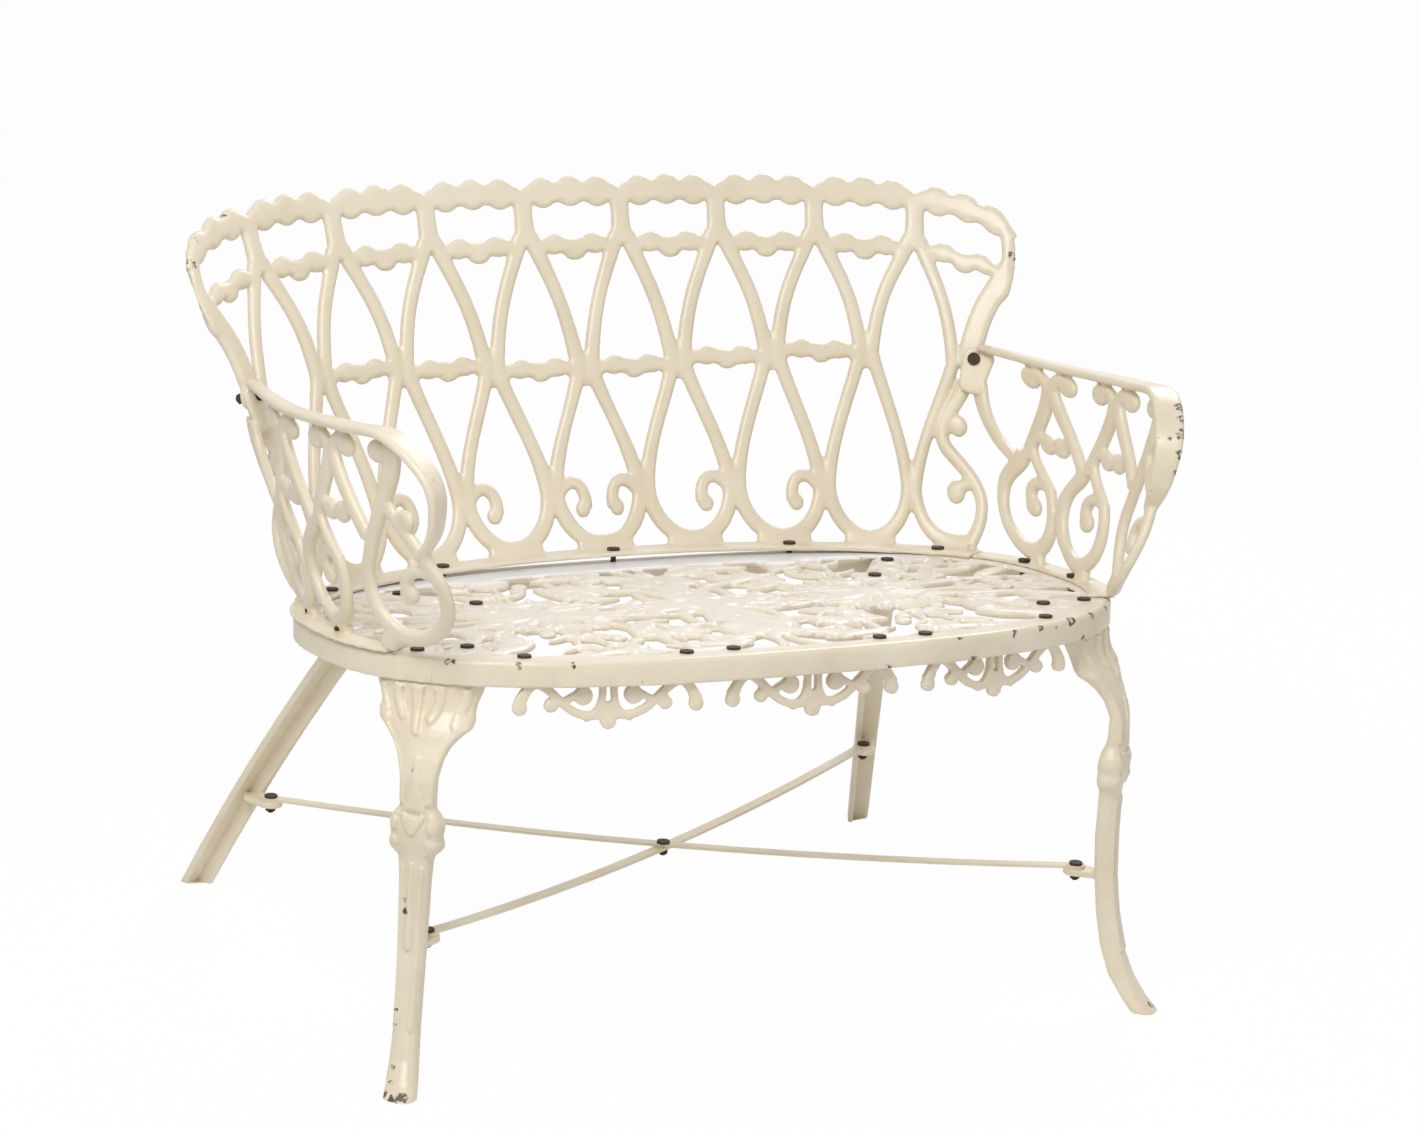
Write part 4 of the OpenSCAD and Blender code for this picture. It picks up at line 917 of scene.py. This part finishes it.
legLook = {
    "turn": 47, "spreadTurn": 27.5, "headWidth": 116, "spread": 88, "setBack": 15, "crown": 300,
    "headShare": 0.93, "headBlend": 0.07, "square": 0.7, "voxel": 1.35, "softRounds": 2, "keep": 0.6,
    # height share, width share, depth, spread share
    "rings": [
        (1.0, 1.0, 28, 0), (0.975, 0.95, 27, 0.01), (0.955, 0.89, 26, 0.04), (0.935, 0.86, 26, 0.08),
        (0.915, 0.87, 28, 0.14), (0.9, 0.84, 28, 0.19), (0.885, 0.7, 25, 0.25), (0.86, 0.52, 21, 0.33),
        (0.83, 0.41, 18, 0.42), (0.785, 0.335, 16, 0.5), (0.73, 0.325, 17, 0.5), (0.706, 0.33, 19, 0.49),
        (0.69, 0.41, 23, 0.48), (0.67, 0.475, 27, 0.48), (0.65, 0.47, 29, 0.48), (0.635, 0.44, 28, 0.48),
        (0.618, 0.49, 27, 0.48), (0.6, 0.47, 25, 0.47), (0.588, 0.36, 23, 0.47), (0.575, 0.31, 22, 0.47),
        (0.515, 0.28, 21, 0.46), (0.45, 0.27, 22, 0.46), (0.34, 0.25, 21, 0.49), (0.24, 0.235, 22, 0.56),
        (0.15, 0.225, 24, 0.67), (0.08, 0.24, 26, 0.83), (0.03, 0.27, 25, 1.03), (0, 0.28, 27, 1.19)],
    # raised lines on the face, single or mirrored: x across, z down from the head's top, and widths
    "relief": [
        ((1,), [(-45, 4), (-47, 14), (-42, 22), (-37, 30)], (9, 7)),
        ((1,), [(-19, 3), (-23, 12), (-20, 24), (-10, 34)], (11, 8)),
        ((1,), [(24, 3), (28, 12), (25, 24), (16, 34)], (11, 8)),
        ((1,), [(45, 4), (47, 14), (43, 22), (38, 30)], (9, 7)),
        ((1,), [(3, 2), (4, 12), (2, 26), (3, 46)], (14, 7)),
        ((-1, 1), [(44, 36), (34, 52), (17, 62), (15, 112)], (9, 6)),
        ((-1, 1), [(0, 66), (1, 86), (3, 98), (9, 116)], (5, 6)),
        ((1,), [(0, 84), (0, 94), (0, 104), (0, 116)], (5, 15)),
        ((1,), [(-12, 117), (-4, 117), (4, 117), (12, 117)], (5, 5)),
        ((-1, 1), [(11, 122), (8, 130), (4, 136), (0, 142)], (6, 5)),
        ((1,), [(0, 124), (0, 128), (0, 132), (0, 138)], (13, 5)),
        ((-1, 1), [(19, 122), (27, 136), (22, 150), (17, 164)], (6, 7)),
        ((1,), [(0, 172), (0, 200), (0, 230), (0, 262)], (4, 7)),
        ((-1, 1), [(11, 176), (10, 230), (9, 290), (9, 340)], (4, 5))],
    "reliefThick": 3.6, "reliefLift": 0.5,
    # buds beside the lines: x, z, half width, half height
    "buds": [(22, 133, 6, 9), (21, 154, 6, 8), (42, 35, 9, 9)], "budHalf": 6,
    # the lug that holds the stretcher
    "lugTurn": 25, "lugReach": 34.32, "lugShift": (-19, 14, 135.5), "lugThick": 7,
    "lug": [(0, 0, 13), (22, -20, 8)],
    # parts of the head under the seat: half run, outer inset, inner inset, low, high
    "head": [(48, 8, 58, -11.5, -5.5), (50, 7.5, 15, -30, -6)],
    # flecks: x across, drop from the head's top, size, strength
    "wearLeft": [
        (5, 212, 4, 0.78), (3, 224, 5, 0.8), (8, 322, 3, 0.8), (8, 336, 3, 0.76), (6, 372, 4, 0.74),
        (6, 384, 4, 0.74), (14, 393, 6, 0.78), (-8, 393, 7, 0.8), (3, 78, 4, 0.7), (12, 60, 3, 0.72),
        (0, 395, 8, 0.78)],
    "wearRight": [(0, 392, 6, 0.72), (-6, 300, 3, 0.74), (4, 180, 3, 0.72), (10, 120, 3, 0.72)],
}
legRings = np.array(legLook["rings"])[::-1]
headRun = halfRim - bench["legRun"]
headAt = np.append(rimAt(headRun), 0)


def underRim(y):
    return bench["seatHeight"] - (y * math.sin(tilt) + bench["rimHeight"]) / math.cos(tilt)


def levelDir(turn):
    # a level direction, turned from straight forward
    return np.array([math.sin(math.radians(turn)), -math.cos(math.radians(turn)), 0])


headZ = underRim(headAt[1])
faceDir, spreadDir = levelDir(legLook["turn"]), levelDir(legLook["spreadTurn"])
sideDir = np.array([-faceDir[1], faceDir[0], 0])


def legSize(share):
    return [np.interp(share, legRings[:, 0], legRings[:, k]) for k in (1, 2, 3)]


def legPoint(side, out, share):
    # side and out run from -1 to 1 over the leg's width and depth
    w, d, spread = legSize(share)
    x, y = side * w * legLook["headWidth"] / 2, out * d / 2
    p = headAt - faceDir * legLook["setBack"] + spreadDir * (spread * legLook["spread"])[..., None]
    p = p + sideDir * x[..., None] + faceDir * (y - x * x / legLook["crown"])[..., None]
    top = underRim(p[..., 1])
    blend = np.clip((share - legLook["headShare"]) / legLook["headBlend"], 0, 1)
    p[..., 2] = headZ * share + blend * (top - headZ)
    return p


def legTube():
    shares = np.linspace(1, 0, 130)
    mesh = strandMesh([(np.column_stack([shares * 0, shares * 100]), shares * 0 + 2)], 9)
    co = meshCoords(mesh)
    ring = np.minimum(np.hypot(co[:, 0], co[:, 1]), 1)
    angle = np.arctan2(co[:, 1], co[:, 0])
    side, out = (np.sign(part) * np.abs(part) ** legLook["square"] * ring
                 for part in (np.cos(angle), np.sin(angle)))
    setMeshCoords(mesh, legPoint(side, out, np.clip(co[:, 2] / 100, 0, 1)) * mm)
    return mesh


def legRelief():
    strands = [curvedStrand([(x * s, z) for x, z in points], widths)
               for sides, points, widths in legLook["relief"] for s in sides]
    buds = [(x * s, z, wide, high, legLook["budHalf"], 0)
            for x, z, wide, high in legLook["buds"] for s in (-1, 1)]
    mesh = joined([strandMesh(strands), lobeMesh(buds)])
    co = meshCoords(mesh)
    share = np.clip(1 - co[:, 2] / headZ, 0, 1)
    side = np.clip(co[:, 0] / (legSize(share)[0] * legLook["headWidth"] / 2), -1, 1)
    out = (1 - np.abs(side) ** (2 / legLook["square"])) ** (legLook["square"] / 2)
    raised = softLimit(-co[:, 1], legLook["reliefThick"], 2) + legLook["reliefLift"]
    setMeshCoords(mesh, (legPoint(side, out, share) + faceDir * raised[:, None]) * mm)
    return mesh


def makeFrontLeg():
    look = legLook
    ahead = levelDir(look["lugTurn"]) * look["lugReach"]
    lugAt = headAt + ahead - faceDir * look["setBack"] + look["lugShift"]
    lug = convexMesh(look["lug"], look["lugThick"], lambda co: (co + lugAt) * mm)
    head = [rimStrip(headRun - half, headRun + half, 12, *band) for half, *band in look["head"]]
    return castSolid("rightFrontLeg", [legTube(), legRelief(), lug, *head], look)


def legSpot(x, drop):
    share = np.array([1 - drop / headZ])
    side = np.array([x / (legSize(share)[0][0] * legLook["headWidth"] / 2)])
    return legPoint(side, np.array([0.95]), share)[0]


rightFrontLeg = makeFrontLeg()
leftFrontLeg = mirroredCopy(rightFrontLeg, "leftFrontLeg")
finishPiece(rightFrontLeg, paint, "paint", "front_right_leg")
finishPiece(leftFrontLeg, paint, "paint", "front_left_leg")
for leg, flip, flecks in ((leftFrontLeg, -1, legLook["wearLeft"]), (rightFrontLeg, 1, legLook["wearRight"])):
    wearOn(leg, [(legSpot(*place), size, strength) for *place, size, strength in flecks], flip)
print("front legs done")

# The rear legs and the aprons follow the frame's own shapes, with softened edges

softLook = {"voxel": 1.5, "softRounds": 4, "keep": 0.6}


def softCopy(nodeName, name, extra=()):
    # a merged copy of the frame's mesh, with anything extra fused on
    bm = bmesh.new()
    bm.from_mesh(nodes[nodeName].data)
    bmesh.ops.remove_doubles(bm, verts=bm.verts, dist=1e-6)
    finishPiece(castSolid(name, [toMesh(bm, name), *extra], softLook), paint, "paint", nodeName)


softCopy("rear_left_leg", "leftRearLeg")
softCopy("rear_right_leg", "rightRearLeg")

apronLook = {
    "drop": 45, "width": 180, "thick": 8, "spareThick": 1.5, "run": 219, "inset": 30, "setBack": 14,
    "berryThick": 6.5,
}


def apronBerries(side):
    # domed berries and swollen vines on the outer face
    look = apronLook
    e, d, thick = look["width"] / 2, look["drop"], look["berryThick"]
    lobes, strands = [], []
    for m in (-1, 1):
        lobes += [(m * x, z * d, size, size, thick, 0)
                  for x, z, size in ((e - 2, -0.48, 7.5), (e - 33, -0.44, 7), (25, -0.24, 9.5))]
        vines = (([(e - 1, -0.4 * d), (e - 6, -0.2 * d), (e - 8, 0), (e - 22, 4)], [11, 8]),
                 ([(e - 18, 3), (e - 42, -0.12 * d), (e - 48, -0.86 * d), (5, -0.66 * d)], [9, 8, 8]),
                 ([(24, -0.76 * d), (8, -0.66 * d), (4, -0.4 * d), (6, 4)], [7, 7]))
        strands += [curvedStrand([(x * m, z) for x, z in points], widths) for points, widths in vines]
    lobes.append((0, -0.82 * d, 8, 8, thick, 0))
    mesh = joined([strandMesh(strands), lobeMesh(lobes)])
    co = meshCoords(mesh)
    before, place, after = rimAt(halfRim - abs(side) * look["run"] + np.array([-1, 0, 1]), look["inset"])
    turn = math.atan2(*(after - before)[::-1]) + math.pi if side else 0
    along = np.array([math.cos(turn), math.sin(turn), 0])
    inward = np.array([-along[1], along[0], 0])
    depth = softLimit(co[:, 1:2], look["thick"] / 2 + look["spareThick"], 3) - look["setBack"]
    placed = [*place, -bench["rimHeight"]] + along * co[:, :1] + inward * depth
    placed[:, 2] += co[:, 2]
    setMeshCoords(mesh, seatPlace(placed * [-1 if side < 0 else 1, 1, 1]))
    return mesh


for side, name in ((-1, "left"), (0, "centre"), (1, "right")):
    softCopy("apron_" + name, name + "Apron", [apronBerries(side)])
print("aprons and rear legs done")

# The bolts, nuts and stretchers stay as the frame has them

for name, node in nodes.items():
    slot = [row["material_slot"] for row in frame["record"]["subparts"] if row["node"] == name]
    node.data.materials.clear()
    node.data.materials.append(rust if slot == ["bolts"] else paint)

# Floor, light and camera

stageLook = {
    "floor": (0.9, 0.9, 0.9, 1), "floorSize": 14, "floorRoughness": 0.9, "whiteShare": 0.96, "sky": 0.4,
    # lamps: place, aim, size, power
    "key": ((-1.4, -1.3, 2.6), (0, 0, 0.35), 1.3, 47.0),
    "rim": ((1.6, 1.6, 2.2), (0, 0, 0.4), 1.2, 26.0),
    "fill": ((1.6, -2.6, 1.2), (0, 0, 0.35), 1.6, 8.0),
}
cameraLook = {
    "yaw": 25.96, "pitch": 15.5, "roll": 3.46, "at": (-2.0105, -4.2046, 1.7181), "lens": 116.6, "sensor": 36,
}


def makeFloor():
    bm = bmesh.new()
    bmesh.ops.create_grid(bm, x_segments=1, y_segments=1, size=stageLook["floorSize"])
    floor = addObject("floor", toMesh(bm, "floor"))
    material, tree, shader = newMaterial("paleFloor")
    setInputs(tree, shader, {"Base Color": stageLook["floor"], "Roughness": stageLook["floorRoughness"]})
    # seen by the camera, the floor is mostly white and keeps a faint shadow
    white = shaderNode(tree, "Emission", (0, -200), {"Strength": 1.0, "Color": (1, 1, 1, 1)})
    path = shaderNode(tree, "LightPath", (-400, 300))
    share = mathOf(tree, (-200, 300), "MULTIPLY", path.outputs["Is Camera Ray"], stageLook["whiteShare"])
    blend = shaderNode(tree, "MixShader", (250, 0), {
        "Fac": share, 1: shader.outputs["BSDF"], 2: white.outputs["Emission"]})
    setInputs(tree, tree.nodes["Material Output"], {"Surface": blend.outputs["Shader"]})
    floor.data.materials.append(material)


def makeWorld():
    world = bpy.data.worlds.new("studio")
    bpy.context.scene.world = world
    world.use_nodes = True
    tree = world.node_tree
    path = shaderNode(tree, "LightPath", (-600, 0))
    seen = mathOf(tree, (-400, 0), "MAXIMUM", path.outputs["Is Camera Ray"], path.outputs["Is Glossy Ray"])
    strength = shaderNode(tree, "MapRange", (-200, 0), {
        "Value": seen, "To Min": stageLook["sky"], "To Max": 1.0})
    setInputs(tree, tree.nodes["Background"], {"Strength": strength.outputs[0], "Color": (1, 1, 1, 1)})


def areaLamp(name, at, aim, size, power):
    lamp = bpy.data.lights.new(name, "AREA")
    lamp.size = size
    lamp.energy = power
    obj = addObject(name, lamp)
    obj.location = at
    obj.rotation_euler = (Vector(aim) - Vector(at)).to_track_quat("-Z", "Y").to_euler()


def makeCamera():
    yaw, pitch, roll = (math.radians(cameraLook[k]) for k in ("yaw", "pitch", "roll"))
    ahead = Vector((math.sin(yaw) * math.cos(pitch), math.cos(yaw) * math.cos(pitch), -math.sin(pitch)))
    right = Vector((math.cos(yaw), -math.sin(yaw), 0))
    up = right.cross(ahead)
    right, up = right * math.cos(roll) + up * math.sin(roll), up * math.cos(roll) - right * math.sin(roll)
    data = bpy.data.cameras.new("camera")
    data.lens = cameraLook["lens"]
    data.sensor_width = cameraLook["sensor"]
    camera = addObject("camera", data)
    turn = Matrix((right, up, -ahead)).transposed()
    camera.matrix_world = Matrix.Translation(cameraLook["at"]) @ turn.to_4x4()
    bpy.context.scene.camera = camera


makeFloor()
makeWorld()
for name in ("key", "rim", "fill"):
    areaLamp(name, *stageLook[name])
makeCamera()
bpy.context.scene.view_settings.view_transform = "Standard"
print("stage done")
